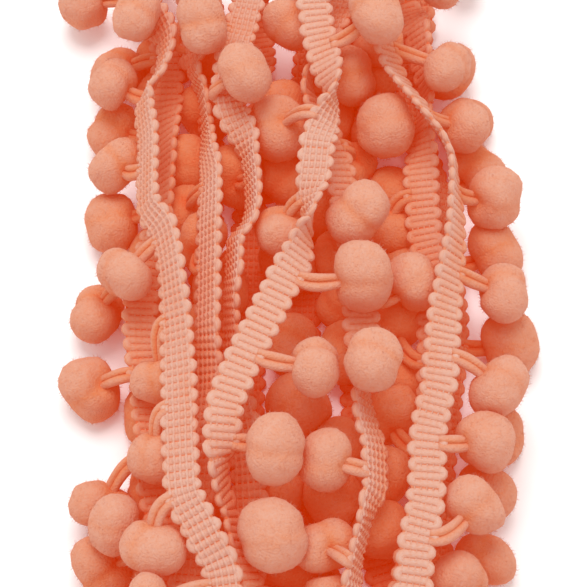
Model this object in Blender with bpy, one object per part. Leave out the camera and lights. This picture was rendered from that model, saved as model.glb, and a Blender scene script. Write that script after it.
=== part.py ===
"""Pompom fringe trim: one length of narrow woven tape, with a pompom on every drawn loop,
wound back and forth into a hank that lies on a flat surface.

Frame: the hank lies along Y and rests on z = 0. Its turns bend over at both ends.
Lengths below are in millimetres and are turned into metres when a mesh is made.

The tape is one smooth path. Each run of it is a row in RUNS: the places that it passes,
with the roll of its pompom edge (0 = the edge points to +X, 90 = up, 180 = to -X).
A run's heading and its fringe are two solids, side by side: the heading takes the width
up to the backing strip, and the strip carries the drawn loops and their pompoms.
"""
import math
from collections import namedtuple

import bpy
import numpy as np

METRES = 0.001

# Driving dimensions of the trim (mm)
TAPE_WIDTH = 7.0
TAPE_THICKNESS = 1.3
STRIP_WIDTH = 1.0
CLEARANCE = 0.4
LOOP_WIDTH = 2.2
LOOP_THICKNESS = 1.2
LOOP_PITCH = 16.5
LOOP_STRAIGHT = 1.4
SQUEEZED_RADIUS = 4.6
REACH_MAX = 11.0
REACH_MIN = 7.2

# How finely the path and the solids are cut
PATH_STEP = 0.5
BEND_STEPS = 8
SEGMENT_LIMIT = 7.0
SEGMENT_TURN = math.radians(26.0)
SEGMENT_TWIST = math.radians(32.0)
FINE_STEPS = 16
BALL_SIDES = 8
BALL_RINGS = (math.radians(48.0), math.radians(92.0), math.radians(138.0))
BALL_START = math.radians(157.5)
BEND_GIRTH = 0.9
NECK_GIRTH = 0.8
NECK_DEPTH = 0.9
END_MARGIN = 3.0

# Settling of the pompoms against the tape, the surface and each other
SETTLE_STEPS = 400
SETTLE_PULL = 0.06
SETTLE_SINK = 0.02
SETTLE_FREE = 0.55
FAR = 99.0
BOX_STEP = 3.0
BOX_HALF = (1.6, TAPE_WIDTH / 2 + 0.15, TAPE_THICKNESS / 2 + 0.05)
FOLD_SIDE = 4.5
FOLD_RISE = 5.5
HANG_SIDE = 8.5
HANG_DROP = 1.0
SPACING = 0.5
FLOOR_FLAT = 0.45
STEM_SHARES = (0.1, 0.4, 0.7)
NEAR_BOXES = 48

Place = namedtuple("Place", "y x z roll")
Seat = namedtuple("Seat", "loop x y z radius")
Run = namedtuple("Run", "name first_loop places seats")

FLAT = TAPE_THICKNESS / 2

RUNS = (
    Run("upper_1", 10.25, (
        Place(-63, -10.5, 19.5, -180),
        Place(-51, -11.7, 21.0, -176),
        Place(-44, -15.2, 22.8, -172),
        Place(-37, -18.4, 23.3, -168),
        Place(-24, -19.2, 22.3, -165),
        Place(-8, -20.2, 21.5, -152),
        Place(4, -21.5, 22.0, -137),
        Place(12, -23.1, 21.0, -138),
        Place(18, -26.2, 20.0, -127),
        Place(32, -26.7, 18.5, -126),
        Place(40, -27.6, 17.5, -122),
        Place(43, -26.9, 17.5, -102),
        Place(46, -25.1, 17.5, -110),
        Place(53, -23.9, 17.5, -124),
        Place(66, -29.5, 17.5, -180)), (
        Seat(1, -23.5, -45, 18.5, 5.0),
        Seat(2, -23, -29, 16.5, 4.4),
        Seat(3, -23, -14.5, 15.5, 4.4),
        Seat(4, -28.8, 6.5, 17, 5.0),
        Seat(5, -31.5, 28.5, 13.5, 4.6),
        Seat(6, -34, 46.5, 14, 4.4),
        Seat(7, -29.5, 56.5, 22, 4.4))),
    Run("lower_1", 4.25, (
        Place(-60, -21.2, 3.0, -180),
        Place(-45, -21.4, 10.0, -188),
        Place(-32, -24.0, 10.5, -195),
        Place(-21, -25.0, 10.2, -195),
        Place(-15, -25.6, 10.1, -195),
        Place(-5, -27.3, 10.2, -195),
        Place(4, -27.6, 10.6, -190),
        Place(15, -25.5, 10.6, -160),
        Place(25, -24.0, 11.0, -125),
        Place(34, -23.7, 11.0, -124),
        Place(41, -23.8, 10.4, -145),
        Place(46, -24.2, 10.2, -178),
        Place(53, -24.2, 10.0, -180),
        Place(60, -25.0, 9.6, -178),
        Place(66, -29.4, 8.0, -180)), (
        Seat(1, -33, 54, 5.5, 4.7),
        Seat(2, -34.5, 41.5, 5, 4.4),
        Seat(3, -34, 21.5, 5, 4.8),
        Seat(4, -36, 3, 5, 4.8),
        Seat(5, -36.5, -12, 5, 5.0),
        Seat(6, -32, -36, 6.5, 4.7),
        Seat(7, -32, -45, 5, 4.8))),
    Run("upper_2", 11.25, (
        Place(-61, -19.0, 14.6, -180),
        Place(-45, -17.0, 13.8, -168),
        Place(-30, -15.8, 14.4, -155),
        Place(-14, -14.8, 16.0, -140),
        Place(-4, -15.0, 19.0, -133),
        Place(14, -15.1, 19.0, -132),
        Place(24, -15.0, 18.2, -129),
        Place(30, -15.7, 16.0, -118),
        Place(37, -16.1, 13.7, -107),
        Place(44, -16.9, 14.8, -102),
        Place(48, -18.4, 15.0, -104),
        Place(56, -18.8, 13.8, -185),
        Place(66, -17.6, 13.0, -180)), (
        Seat(2, -17, -25.5, 6.5, 4.4),
        Seat(4, -17, 14.5, 10, 4.4),
        Seat(5, -20.5, 25, 6.5, 4.5),
        Seat(6, -18.5, 42.5, 6.5, 4.4),
        Seat(7, -19, 62, 19.5, 4.5))),
    Run("lower_2", 8.0, (
        Place(-60, -12.0, 1.5, -180),
        Place(-45, -15.0, FLAT, -180),
        Place(0, -16.4, FLAT, -180),
        Place(50, -16.8, FLAT, -180),
        Place(66, -17.3, 1.8, -180)), ()),
    Run("upper_3", 16.0, (
        Place(-62, -10.2, 13.2, -180),
        Place(-50, -8.0, 11.2, -170),
        Place(-40, -7.4, 10.2, -168),
        Place(-29, -7.9, 12.0, -158),
        Place(-20, -9.0, 12.4, -150),
        Place(-10, -10.5, 13.0, -130),
        Place(-2.5, -11.0, 15.5, -114),
        Place(1, -11.0, 17.0, -113),
        Place(5, -10.6, 18.0, -118),
        Place(11, -10.5, 18.0, -120),
        Place(15, -8.1, 18.0, -117),
        Place(19, -7.2, 18.0, -115),
        Place(29, -8.0, 18.0, -117),
        Place(32.5, -9.0, 18.5, -150),
        Place(37.5, -11.3, 19.0, -185),
        Place(41, -12.0, 19.4, -190),
        Place(49, -11.5, 19.0, -190),
        Place(57, -10.0, 16.4, -185),
        Place(67, -8.5, 15.0, -180)), (
        Seat(2, -8, -27, 6.5, 4.4),
        Seat(5, -11.5, 29.5, 9, 4.9),
        Seat(6, -9, 42, 25, 5.0),
        Seat(7, -17, 52, 24, 5.0))),
    Run("lower_3", 16.0, (
        Place(-60, -4.5, 1.5, 0),
        Place(-45, -7.2, FLAT, 0),
        Place(0, -8.6, FLAT, 0),
        Place(36, -8.2, FLAT, 0),
        Place(44, -7.2, 2.2, -30),
        Place(50, -6.4, 4.2, -90),
        Place(56, -6.5, 3.0, -150),
        Place(67, -7.5, 1.8, -180)), (
        Seat(1, -2, 45.8, 6.3, 4.4),
        Seat(5, 3.5, -19, 7.5, 5.0))),
    Run("upper_4", 14.0, (
        Place(-61, -2.5, 15.5, 360),
        Place(-51, -7.0, 16.0, 310),
        Place(-44, -9.3, 16.5, 298),
        Place(-38.5, -10.9, 17.5, 290),
        Place(-35.5, -12.0, 19.5, 288),
        Place(-32, -12.3, 22.5, 302),
        Place(-29.5, -12.0, 24.0, 335),
        Place(-24, -11.7, 25.0, 352),
        Place(-19, -10.3, 25.0, 360),
        Place(-11.5, -7.2, 25.0, 360),
        Place(-3.5, -3.4, 25.0, 355),
        Place(1, -1.4, 25.0, 348),
        Place(5.5, 0.8, 24.5, 325),
        Place(9.5, 1.8, 24.0, 297),
        Place(12, 2.9, 24.0, 272),
        Place(17, 3.0, 24.0, 228),
        Place(21.5, 3.6, 24.0, 190),
        Place(28.5, 4.4, 24.0, 180),
        Place(34.5, 6.1, 23.0, 140),
        Place(38.5, 7.2, 23.0, 95),
        Place(42, 6.7, 23.0, 52),
        Place(51, 4.9, 22.0, 12),
        Place(58, 4.0, 22.0, 0),
        Place(68, 3.5, 21.5, 0)), (
        Seat(1, -3.5, -44.5, 20.5, 5.6),
        Seat(2, -3, -31, 25, 5.2),
        Seat(3, 4, -15.5, 24, 4.9),
        Seat(4, 12, 2, 23, 5.6),
        Seat(5, -2, 14, 16, 4.9),
        Seat(6, -3, 36, 16, 5.2),
        Seat(7, 15, 52.5, 28, 5.5))),
    Run("lower_4", 6.0, (
        Place(-61, 8.5, 2.0, -180),
        Place(-50, 7.5, 3.6, -130),
        Place(-44, 5.5, 4.2, -90),
        Place(-38, 3.8, 2.2, -30),
        Place(-28, 2.0, FLAT, 0),
        Place(0, 1.6, FLAT, 0),
        Place(40, 1.8, FLAT, 0),
        Place(68, 3.5, 1.5, 0)), (
        Seat(3, 6.5, 23.5, 6.4, 4.6),
        Seat(6, 8, -23.5, 6.4, 4.6),
        Seat(7, 8.5, -34, 6.4, 4.6))),
    Run("upper_5", 7.25, (
        Place(-62, 9.0, 15.0, 540),
        Place(-50, 9.9, 17.0, 475),
        Place(-46.5, 10.4, 17.0, 467),
        Place(-42.5, 11.4, 17.0, 468),
        Place(-37.5, 12.8, 18.0, 482),
        Place(-35, 13.8, 18.0, 493),
        Place(-28, 13.7, 18.0, 493),
        Place(-22.5, 12.3, 18.0, 488),
        Place(-18, 11.8, 17.5, 478),
        Place(-13, 11.9, 17.0, 440),
        Place(-6, 12.0, 16.0, 375),
        Place(-2, 12.0, 16.0, 362),
        Place(8, 11.5, 15.0, 352),
        Place(23, 9.2, 15.0, 338),
        Place(28.5, 8.2, 15.0, 338),
        Place(33, 7.0, 15.0, 334),
        Place(40, 4.5, 15.0, 310),
        Place(45, 2.7, 15.4, 288),
        Place(52, 4.5, 14.5, 250),
        Place(60, 8.0, 14.0, 210),
        Place(67, 10.0, 13.0, 180)), (
        Seat(1, 5.5, -44.5, 14.5, 4.7),
        Seat(2, 5, -31, 20, 4.7),
        Seat(3, 13, -15.5, 26.5, 4.9),
        Seat(5, 11.5, 15, 21.5, 5.2),
        Seat(6, 12, 30.5, 6.6, 4.5),
        Seat(7, 11.5, 48, 13, 4.7),
        Seat(8, -1, 59, 14.5, 4.6))),
    Run("lower_5", 4.0, (
        Place(-60, 18.5, 12.8, 0),
        Place(-48, 19.5, 12.2, -25),
        Place(-38, 21.0, 11.0, -90),
        Place(-28, 23.5, 11.5, -150),
        Place(-15, 24.8, 12.0, -160),
        Place(5, 25.2, 12.5, -162),
        Place(10, 24.6, 13.0, -163),
        Place(14.5, 24.0, 13.0, -165),
        Place(19.5, 23.7, 13.0, -168),
        Place(26, 23.6, 13.0, -168),
        Place(33, 23.8, 12.4, -150),
        Place(39, 24.2, 11.8, -118),
        Place(46, 25.3, 10.9, -108),
        Place(51, 24.8, 10.8, -118),
        Place(60, 23.8, 11.0, -135),
        Place(68, 21.5, 7.5, -180)), (
        Seat(1, 15.5, 57.5, 12, 5.0),
        Seat(2, 16, 35.5, 12.8, 5.2),
        Seat(3, 17.5, 18.5, 7, 4.8),
        Seat(4, 18, 8.5, 6.3, 4.8),
        Seat(5, 17.5, -1.5, 6.3, 4.7),
        Seat(6, 17, -17, 6, 4.8))),
    Run("upper_6", 5.4, (
        Place(-62, 18.5, 18.0, 0),
        Place(-50, 19.9, 19.5, -5),
        Place(-45.5, 20.4, 20.0, -6),
        Place(-37, 22.2, 20.0, -5),
        Place(-27.5, 22.7, 20.0, -6),
        Place(-16, 25.0, 20.0, -6),
        Place(-5, 26.2, 20.0, -20),
        Place(5, 27.8, 20.0, -42),
        Place(12.5, 28.9, 20.0, -57),
        Place(17.5, 29.2, 20.0, -64),
        Place(22.5, 29.1, 20.0, -75),
        Place(26.5, 29.0, 20.0, -78),
        Place(31, 27.6, 20.6, -78),
        Place(35, 25.0, 21.0, -69),
        Place(38.5, 23.0, 21.0, -57),
        Place(42.5, 20.3, 20.6, -53),
        Place(47, 18.3, 20.0, -44),
        Place(53, 17.0, 20.0, -44),
        Place(60, 16.5, 19.5, -25),
        Place(68, 16.5, 19.0, 0)), (
        Seat(1, 30, -38, 17, 4.7),
        Seat(2, 33, -26, 17, 5.0),
        Seat(3, 35.5, -16.5, 16, 5.2),
        Seat(4, 37.5, 3, 14, 5.0),
        Seat(5, 37, 22.5, 13, 5.0),
        Seat(6, 31.5, 38, 12, 4.7),
        Seat(7, 28.8, 45.8, 14.5, 4.5))),
    Run("lower_6", 4.0, (
        Place(-66, 23.0, 6.4, 0),
        Place(-54, 24.5, 5.0, 0),
        Place(-42, 24.5, 3.8, -15),
        Place(-30, 25.5, 4.5, -28),
        Place(-15, 27.5, 5.5, -34),
        Place(0, 29.4, 5.5, -36),
        Place(15, 28.5, 5.5, -36),
        Place(30, 27.0, 4.2, -30),
        Place(45, 23.0, 3.2, -16),
        Place(58, 22.5, 2.5, -10),
        Place(68, 25.0, 2.0, 0)), (
        Seat(1, 28.5, 54, 4.6, 4.5),
        Seat(2, 33.0, 42.8, 4.8, 4.6),
        Seat(3, 34, 33, 4.5, 4.6),
        Seat(4, 37, 15.5, 5, 5.0),
        Seat(5, 39.5, -3, 5, 5.0),
        Seat(7, 32.5, -31, 4.5, 4.7),
        Seat(8, 30, -45, 5.5, 4.5))),
    Run("lower_7", 14.0, (
        Place(-66, 20.0, FLAT, 0),
        Place(-54, 18.5, FLAT, 0),
        Place(-40, 14.5, FLAT, 0),
        Place(0, 11.5, FLAT, 0),
        Place(40, 12.0, FLAT, 0),
        Place(55, 13.5, FLAT, 0),
        Place(67, 14.5, FLAT, 0)), (
        Seat(0, 15.8, -53, 6.4, 4.4),
        Seat(1, 16, -34, 6.2, 4.5),
        Seat(2, 21.5, -26.5, 4.4, 4.6),
        Seat(3, 21.5, -8.5, 4.4, 4.5),
        Seat(4, 8.5, 4.5, 6.4, 4.6),
        Seat(5, 21, 27.5, 4.4, 4.5),
        Seat(6, 14.5, 43, 6, 4.2),
        Seat(7, 14.5, 51.5, 6, 4.2))),
)


def flow(knots, values, at):
    """Smooth curve through values at knots that never overshoots them (monotone cubic)."""
    step = np.diff(knots)
    slope = np.diff(values) / step
    tangent = np.zeros(len(values))
    same = slope[:-1] * slope[1:] > 0.0
    before, after = step[:-1], step[1:]
    weight_a = 2.0 * after + before
    weight_b = after + 2.0 * before
    safe_a = np.where(same, slope[:-1], 1.0)
    safe_b = np.where(same, slope[1:], 1.0)
    blended = (weight_a + weight_b) / (weight_a / safe_a + weight_b / safe_b)
    tangent[1:-1] = np.where(same, blended, 0.0)
    tangent[0], tangent[-1] = slope[0], slope[-1]
    span = np.clip(np.searchsorted(knots, at, side="right") - 1, 0, len(step) - 1)
    part = (at - knots[span]) / step[span]
    h00 = (1.0 + 2.0 * part) * (1.0 - part) ** 2
    h10 = part * (1.0 - part) ** 2
    h01 = part ** 2 * (3.0 - 2.0 * part)
    h11 = part ** 2 * (part - 1.0)
    return (h00 * values[span] + h10 * step[span] * tangent[span]
            + h01 * values[span + 1] + h11 * step[span] * tangent[span + 1])


def bend_places(leave, enter):
    """Half turn from the end of one run to the start of the next, as rows (x, y, z, roll)."""
    outward = math.copysign(1.0, leave[1])
    angle = np.linspace(0.0, math.pi, BEND_STEPS + 1)[1:-1]
    share = (1.0 - np.cos(angle)) / 2.0
    rows = leave + (enter - leave) * share[:, None]
    rows[:, 1] += outward * abs(leave[2] - enter[2]) / 2.0 * np.sin(angle)
    rows[:, 3] = leave[3]
    return rows


def unit(vectors):
    """Vectors scaled to length 1."""
    return vectors / np.linalg.norm(vectors, axis=-1, keepdims=True)


class Path:
    """The whole tape: points, directions and run limits at even steps along its length."""

    def __init__(self, runs):
        rows, cut_rows = [], []
        previous = None
        for number, run in enumerate(runs):
            table = np.array([(p.x, p.y, p.z, p.roll) for p in run.places], float)
            if number % 2:
                table = table[::-1]
            if previous is not None:
                table[:, 3] += 360.0 * round((previous[3] - table[0, 3]) / 360.0)
                arc = bend_places(previous, table[0])
                cut_rows.append(len(rows) + len(arc) // 2)
                rows.extend(arc)
            rows.extend(table)
            previous = table[-1]
        rows = np.array(rows)
        chord = np.linalg.norm(np.diff(rows[:, :3], axis=0), axis=1)
        knots = np.concatenate(([0.0], np.cumsum(chord)))
        fine = np.linspace(0.0, knots[-1], int(knots[-1] / 0.1))
        points = np.stack([flow(knots, rows[:, k], fine) for k in range(3)], axis=1)
        arc = np.concatenate(([0.0], np.cumsum(np.linalg.norm(np.diff(points, axis=0), axis=1))))
        self.length = arc[-1]
        self.cuts = [0.0] + [float(np.interp(knots[i], fine, arc)) for i in cut_rows]
        self.cuts.append(self.length)
        self.at = np.linspace(0.0, self.length, int(round(self.length / PATH_STEP)) + 1)
        station = np.interp(self.at, arc, fine)
        table = np.stack([flow(knots, rows[:, k], station) for k in range(4)], axis=1)
        self.point = table[:, :3]
        roll = np.radians(table[:, 3])[:, None]
        self.along = unit(np.gradient(self.point, axis=0))
        level = unit(np.array([1.0, 0.0, 0.0]) - self.along[:, :1] * self.along)
        upward = np.cross(level, self.along) * np.where(self.along[:, 1:2] < 0.0, -1.0, 1.0)
        self.edge = np.cos(roll) * level + np.sin(roll) * upward
        self.face = np.cross(self.along, self.edge)

    def read(self, at):
        """Point, direction, pompom edge and face normal at distances along the tape."""
        at = np.atleast_1d(at)
        columns = [np.stack([np.interp(at, self.at, field[:, k]) for k in range(3)], axis=1)
                   for field in (self.point, self.along, self.edge)]
        point, along, edge = columns
        along = unit(along)
        edge = unit(edge - np.sum(edge * along, axis=1, keepdims=True) * along)
        return point, along, edge, np.cross(along, edge)


Loop = namedtuple("Loop", "run number at seat")


def loops_of(runs, path):
    """Every drawn loop: its run, its number there, its distance along the tape, its seat."""
    found = []
    for number, run in enumerate(runs):
        start, end = path.cuts[number], path.cuts[number + 1]
        seats = {seat.loop: seat for seat in run.seats}
        at = start + run.first_loop
        count = 0
        while at < end - END_MARGIN:
            found.append(Loop(number, count, at, seats.get(count)))
            at += LOOP_PITCH
            count += 1
    return found


def nearby(points, centres, count):
    """Numbers of the count centres that lie nearest to each point."""
    apart = np.linalg.norm(points[:, None, :] - centres[None, :, :], axis=2)
    return np.argpartition(apart, count, axis=1)[:, :count]


def box_push(points, radius, boxes, half, near):
    """How far balls at points must move to clear the boxes: the deepest push for each ball."""
    centre, axes = boxes
    local = np.einsum("pbk,pbak->pba", points[:, None, :] - centre[near], axes[near])
    gap = local - np.clip(local, -half, half)
    distance = np.linalg.norm(gap, axis=2)
    closest = np.argmin(distance, axis=1)
    rows = np.arange(len(points))
    depth = radius - distance[rows, closest]
    away = gap[rows, closest]
    away[distance[rows, closest] < 1e-6] = [0.0, 0.0, 1.0]
    world = np.einsum("pa,pak->pk", unit(away), axes[near[rows, closest]])
    return world * np.maximum(depth, 0.0)[:, None]


def settle(path, loops):
    """Centres and radii of the pompoms, pushed clear of the tape, the surface and each other."""
    at = np.array([loop.at for loop in loops])
    point, along, edge, face = path.read(at)
    root = point + edge * TAPE_WIDTH / 2
    bend = root + edge * LOOP_STRAIGHT
    radius = np.array([loop.seat.radius if loop.seat else SQUEEZED_RADIUS for loop in loops])
    floor_run = point[:, 2] < TAPE_THICKNESS
    target = root + edge * np.where(floor_run, FOLD_SIDE, HANG_SIDE)[:, None]
    target[:, 2] += np.where(floor_run, FOLD_RISE, -HANG_DROP)
    held = np.zeros(len(loops), bool)
    for index, loop in enumerate(loops):
        if loop.seat:
            target[index] = (loop.seat.x, loop.seat.y, loop.seat.z)
            held[index] = True
    target[:, 2] = np.maximum(target[:, 2], radius - FLOOR_FLAT)
    centre = target.copy()
    every = slice(0, None, int(BOX_STEP / PATH_STEP))
    axes = np.stack([path.along[every], path.edge[every], path.face[every]], axis=1)
    boxes = (path.point[every], axes)
    half = np.array(BOX_HALF)
    count = len(loops)
    alone = np.eye(count) * FAR
    girth = np.full(count, LOOP_WIDTH / 2 + SPACING)
    for step in range(SETTLE_STEPS):
        if step % 10 == 0:
            near = nearby(centre, boxes[0], NEAR_BOXES)
        freedom = max(0.0, 1.0 - step / (SETTLE_STEPS * SETTLE_FREE))
        pull = np.where(held, SETTLE_PULL, SETTLE_PULL / 3) * freedom
        centre += (target - centre) * pull[:, None]
        centre[~held, 2] -= SETTLE_SINK * freedom
        between = centre[:, None, :] - centre[None, :, :]
        distance = np.linalg.norm(between, axis=2) + alone
        depth = np.maximum(radius[:, None] + radius[None, :] + SPACING - distance, 0.0)
        centre += np.sum(between / distance[..., None] * depth[..., None], axis=1) * 0.5
        for share in STEM_SHARES:
            stem = bend + (centre - bend) * share
            between = centre[:, None, :] - stem[None, :, :]
            distance = np.linalg.norm(between, axis=2) + alone
            depth = np.maximum(radius[:, None] + girth[None, :] - distance, 0.0)
            push = between / distance[..., None] * depth[..., None] * 0.5
            centre += np.sum(push, axis=1)
            centre -= np.sum(push, axis=0) * share
            if share > 0.3:
                centre += box_push(stem, girth, boxes, half, near)
        arm = centre - bend
        reach = np.linalg.norm(arm, axis=1)
        wanted = np.clip(reach, REACH_MIN - LOOP_STRAIGHT, REACH_MAX - LOOP_STRAIGHT)
        centre += arm * ((wanted / reach - 1.0) * (0.3 + 0.5 * freedom))[:, None]
        centre += box_push(centre, radius + SPACING, boxes, half, near)
        centre[:, 2] = np.maximum(centre[:, 2], radius - FLOOR_FLAT)
    return np.round(centre, 3), radius


def ring_mesh(name, vertices, faces, colour):
    """Make one object of a closed mesh given in millimetres."""
    vertices = np.asarray(vertices, float) * METRES
    vertices[:, 2] = np.maximum(vertices[:, 2], 0.0)
    mesh = bpy.data.meshes.new(name)
    mesh.from_pydata([tuple(v) for v in vertices], [], faces)
    mesh.validate()
    mesh.update()
    mesh.shade_smooth()
    mesh.set_sharp_from_angle(angle=math.radians(50.0))
    material = bpy.data.materials.new(name + "_yarn")
    material.use_nodes = True
    shader = material.node_tree.nodes["Principled BSDF"]
    shader.inputs["Base Color"].default_value = colour
    shader.inputs["Roughness"].default_value = 0.95
    shader.inputs["Metallic"].default_value = 0.0
    mesh.materials.append(material)
    made = bpy.data.objects.new(name, mesh)
    bpy.context.scene.collection.objects.link(made)
    return made


def stations_of(path, start, end, roots):
    """Cross-section places of a run: both sides of each loop, and enough steps between."""
    marks = [start]
    for root in roots:
        marks.extend((root - LOOP_WIDTH / 2, root + LOOP_WIDTH / 2))
    marks.append(end)
    places = [marks[0]]
    for left, right in zip(marks[:-1], marks[1:]):
        if right - left < LOOP_WIDTH * 1.1:
            places.append(right)
            continue
        fine = np.linspace(left, right, FINE_STEPS + 1)
        _, along, edge, _ = path.read(fine)
        turn = np.arccos(np.clip(np.sum(along[1:] * along[:-1], axis=1), -1, 1))
        twist = np.arccos(np.clip(np.sum(edge[1:] * edge[:-1], axis=1), -1, 1))
        worth = np.maximum(turn / SEGMENT_TURN, twist / SEGMENT_TWIST)
        worth = np.maximum(worth, np.diff(fine) / SEGMENT_LIMIT)
        total = np.concatenate(([0.0], np.cumsum(worth)))
        steps = math.ceil(total[-1])
        wanted = total[-1] * np.arange(1, steps + 1) / steps
        places.extend(np.interp(wanted, total, fine))
    return np.array(places)


def ribbon(path, places, inner, outer):
    """Corner rings of a flat strip between two distances from the tape's middle line."""
    point, _, edge, face = path.read(places)
    rise = face * TAPE_THICKNESS / 2
    return np.stack([point + edge * inner + rise, point + edge * outer + rise,
                     point + edge * outer - rise, point + edge * inner - rise], axis=1)


def strip_faces(count, open_at=()):
    """Faces of a closed strip of corner rings; open_at leaves out outer faces for the loops."""
    faces = [(0, 1, 2, 3)]
    for k in range(count - 1):
        low, high = 4 * k, 4 * (k + 1)
        for side in range(4):
            if side == 1 and k in open_at:
                continue
            after = (side + 1) % 4
            faces.append((low + side, high + side, high + after, low + after))
    last = 4 * (count - 1)
    faces.append((last + 3, last + 2, last + 1, last))
    return faces


def turned(vectors, start, end):
    """Vectors turned by the smallest rotation that takes start to end."""
    axis = np.cross(start, end)
    cosine = float(np.dot(start, end))
    cross = np.cross(axis, vectors)
    return vectors + cross + np.cross(axis, cross) / (1.0 + cosine)


def loop_and_pompom(frame, centre, radius):
    """Vertices of a loop's two four-cornered rings, its pompom's rings and the far pole."""
    root, along, edge, face = frame
    bend = root + edge * LOOP_STRAIGHT
    heading = unit(centre - bend)
    middle = unit(edge + heading)
    corners = np.array([(-1, 1), (1, 1), (1, -1), (-1, -1)], float)
    vertices = []
    neck = centre - heading * radius * NECK_DEPTH
    for place, toward, scale in ((bend, middle, BEND_GIRTH), (neck, heading, NECK_GIRTH)):
        side, rise = turned(np.stack([along, face]), edge, toward)
        size = np.array([LOOP_WIDTH, LOOP_THICKNESS]) / 2 * scale
        vertices.extend(place + corners[:, :1] * size[0] * side + corners[:, 1:] * size[1] * rise)
    side, rise = turned(np.stack([along, face]), edge, heading)
    around = BALL_START - np.arange(BALL_SIDES) * 2.0 * math.pi / BALL_SIDES
    outline = np.cos(around)[:, None] * side + np.sin(around)[:, None] * rise
    for polar in BALL_RINGS:
        vertices.extend(centre + radius * (outline * math.sin(polar) - heading * math.cos(polar)))
    vertices.append(centre + radius * heading)
    return vertices


def fringe_mesh(path, places, loops, centres, radii):
    """Vertices and faces of a backing strip with its loops and pompoms."""
    inner = TAPE_WIDTH / 2 - STRIP_WIDTH
    rings = ribbon(path, places, inner, TAPE_WIDTH / 2)
    vertices = list(rings.reshape(-1, 3))
    open_at = [int(np.argmin(abs(places - (loop.at - LOOP_WIDTH / 2)))) for loop in loops]
    faces = strip_faces(len(places), set(open_at))
    for loop, slot, centre, radius in zip(loops, open_at, centres, radii):
        point, along, edge, face = (field[0] for field in path.read(loop.at))
        low, high = 4 * slot, 4 * (slot + 1)
        base = (low + 1, high + 1, high + 2, low + 2)
        frame = (point + edge * TAPE_WIDTH / 2, along, edge, face)
        start = len(vertices)
        vertices.extend(loop_and_pompom(frame, centre, radius))
        ring_a = base
        for k in range(2):
            ring_b = tuple(start + 4 * k + c for c in range(4))
            faces.extend(quad_band(ring_a, ring_b))
            ring_a = ring_b
        ball = start + 8
        first = [ball + k for k in range(BALL_SIDES)]
        for corner in range(4):
            after = (corner + 1) % 4
            left, right = first[2 * corner], first[2 * corner + 1]
            onward = first[(2 * corner + 2) % BALL_SIDES]
            faces.append((ring_a[corner], right, left))
            faces.append((ring_a[corner], ring_a[after], onward, right))
        for ring in range(len(BALL_RINGS) - 1):
            here = [ball + ring * BALL_SIDES + k for k in range(BALL_SIDES)]
            there = [index + BALL_SIDES for index in here]
            faces.extend(quad_band(here, there))
        pole = ball + len(BALL_RINGS) * BALL_SIDES
        last = [pole - BALL_SIDES + k for k in range(BALL_SIDES)]
        for k in range(BALL_SIDES):
            faces.append((last[k], last[(k + 1) % BALL_SIDES], pole))
    return vertices, faces


def quad_band(here, there):
    """Faces between two rings of the same number of vertices."""
    count = len(here)
    return [(here[k], here[(k + 1) % count], there[(k + 1) % count], there[k])
            for k in range(count)]


def build():
    """Clear the scene and make the headings and fringes of all runs."""
    for old in list(bpy.data.objects):
        bpy.data.objects.remove(old, do_unlink=True)
    path = Path(RUNS)
    loops = loops_of(RUNS, path)
    centres, radii = settle(path, loops)
    for number, run in enumerate(RUNS):
        start = path.cuts[number] + CLEARANCE / 2
        end = path.cuts[number + 1] - CLEARANCE / 2
        mine = [k for k, loop in enumerate(loops) if loop.run == number]
        places = stations_of(path, start, end, [loops[k].at for k in mine])
        rings = ribbon(path, places, -TAPE_WIDTH / 2, TAPE_WIDTH / 2 - STRIP_WIDTH - CLEARANCE)
        ring_mesh("heading_" + run.name, rings.reshape(-1, 3), strip_faces(len(places)),
                  (0.78, 0.30, 0.18, 1.0))
        vertices, faces = fringe_mesh(path, places, [loops[k] for k in mine],
                                      centres[mine], radii[mine])
        ring_mesh("fringe_" + run.name, vertices, faces, (0.75, 0.26, 0.14, 1.0))


build()
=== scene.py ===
"""Looks of the pompom fringe trim: a hank of one narrow woven tape, whose bulky filling yarn
turns in scallops at both edges, with a brushed pompom on every drawn loop.

Lengths are in millimetres until a mesh is made. The way of the tape and the seats of its
pompoms are worked out as in the solids. Each run of the tape is dressed by three pieces: the
ground cloth, the woven yarns around it, and the fringe of drawn loops with their pompoms.
"""
from __future__ import annotations

import logging
import math
from collections.abc import Mapping, Sequence
from dataclasses import dataclass
from enum import Enum
from typing import NamedTuple

import bpy
import numpy as np
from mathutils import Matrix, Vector

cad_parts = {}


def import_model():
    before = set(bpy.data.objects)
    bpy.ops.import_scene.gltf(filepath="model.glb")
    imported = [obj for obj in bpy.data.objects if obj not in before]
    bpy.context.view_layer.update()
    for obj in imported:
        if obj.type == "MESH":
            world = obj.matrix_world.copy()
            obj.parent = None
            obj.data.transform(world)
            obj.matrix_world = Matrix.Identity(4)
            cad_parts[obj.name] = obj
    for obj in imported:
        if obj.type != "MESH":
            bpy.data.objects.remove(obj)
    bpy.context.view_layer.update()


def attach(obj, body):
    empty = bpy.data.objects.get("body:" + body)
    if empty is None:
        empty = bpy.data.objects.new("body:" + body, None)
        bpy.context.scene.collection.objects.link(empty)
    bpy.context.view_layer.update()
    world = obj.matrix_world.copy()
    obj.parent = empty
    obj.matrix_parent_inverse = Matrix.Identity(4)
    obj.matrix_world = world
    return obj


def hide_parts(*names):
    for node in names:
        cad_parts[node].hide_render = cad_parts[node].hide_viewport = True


LOG = logging.getLogger("pompom_trim")
METRES = 0.001

Array = np.ndarray
Draws = np.random.Generator
Shade = tuple[float, float, float, float]
Socket = bpy.types.NodeSocket
Feed = float | tuple[float, ...] | Socket


class Place(NamedTuple):
    """A place that the middle of the tape passes, with the roll of its pompom edge."""

    y: float
    x: float
    z: float
    roll: float


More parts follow.
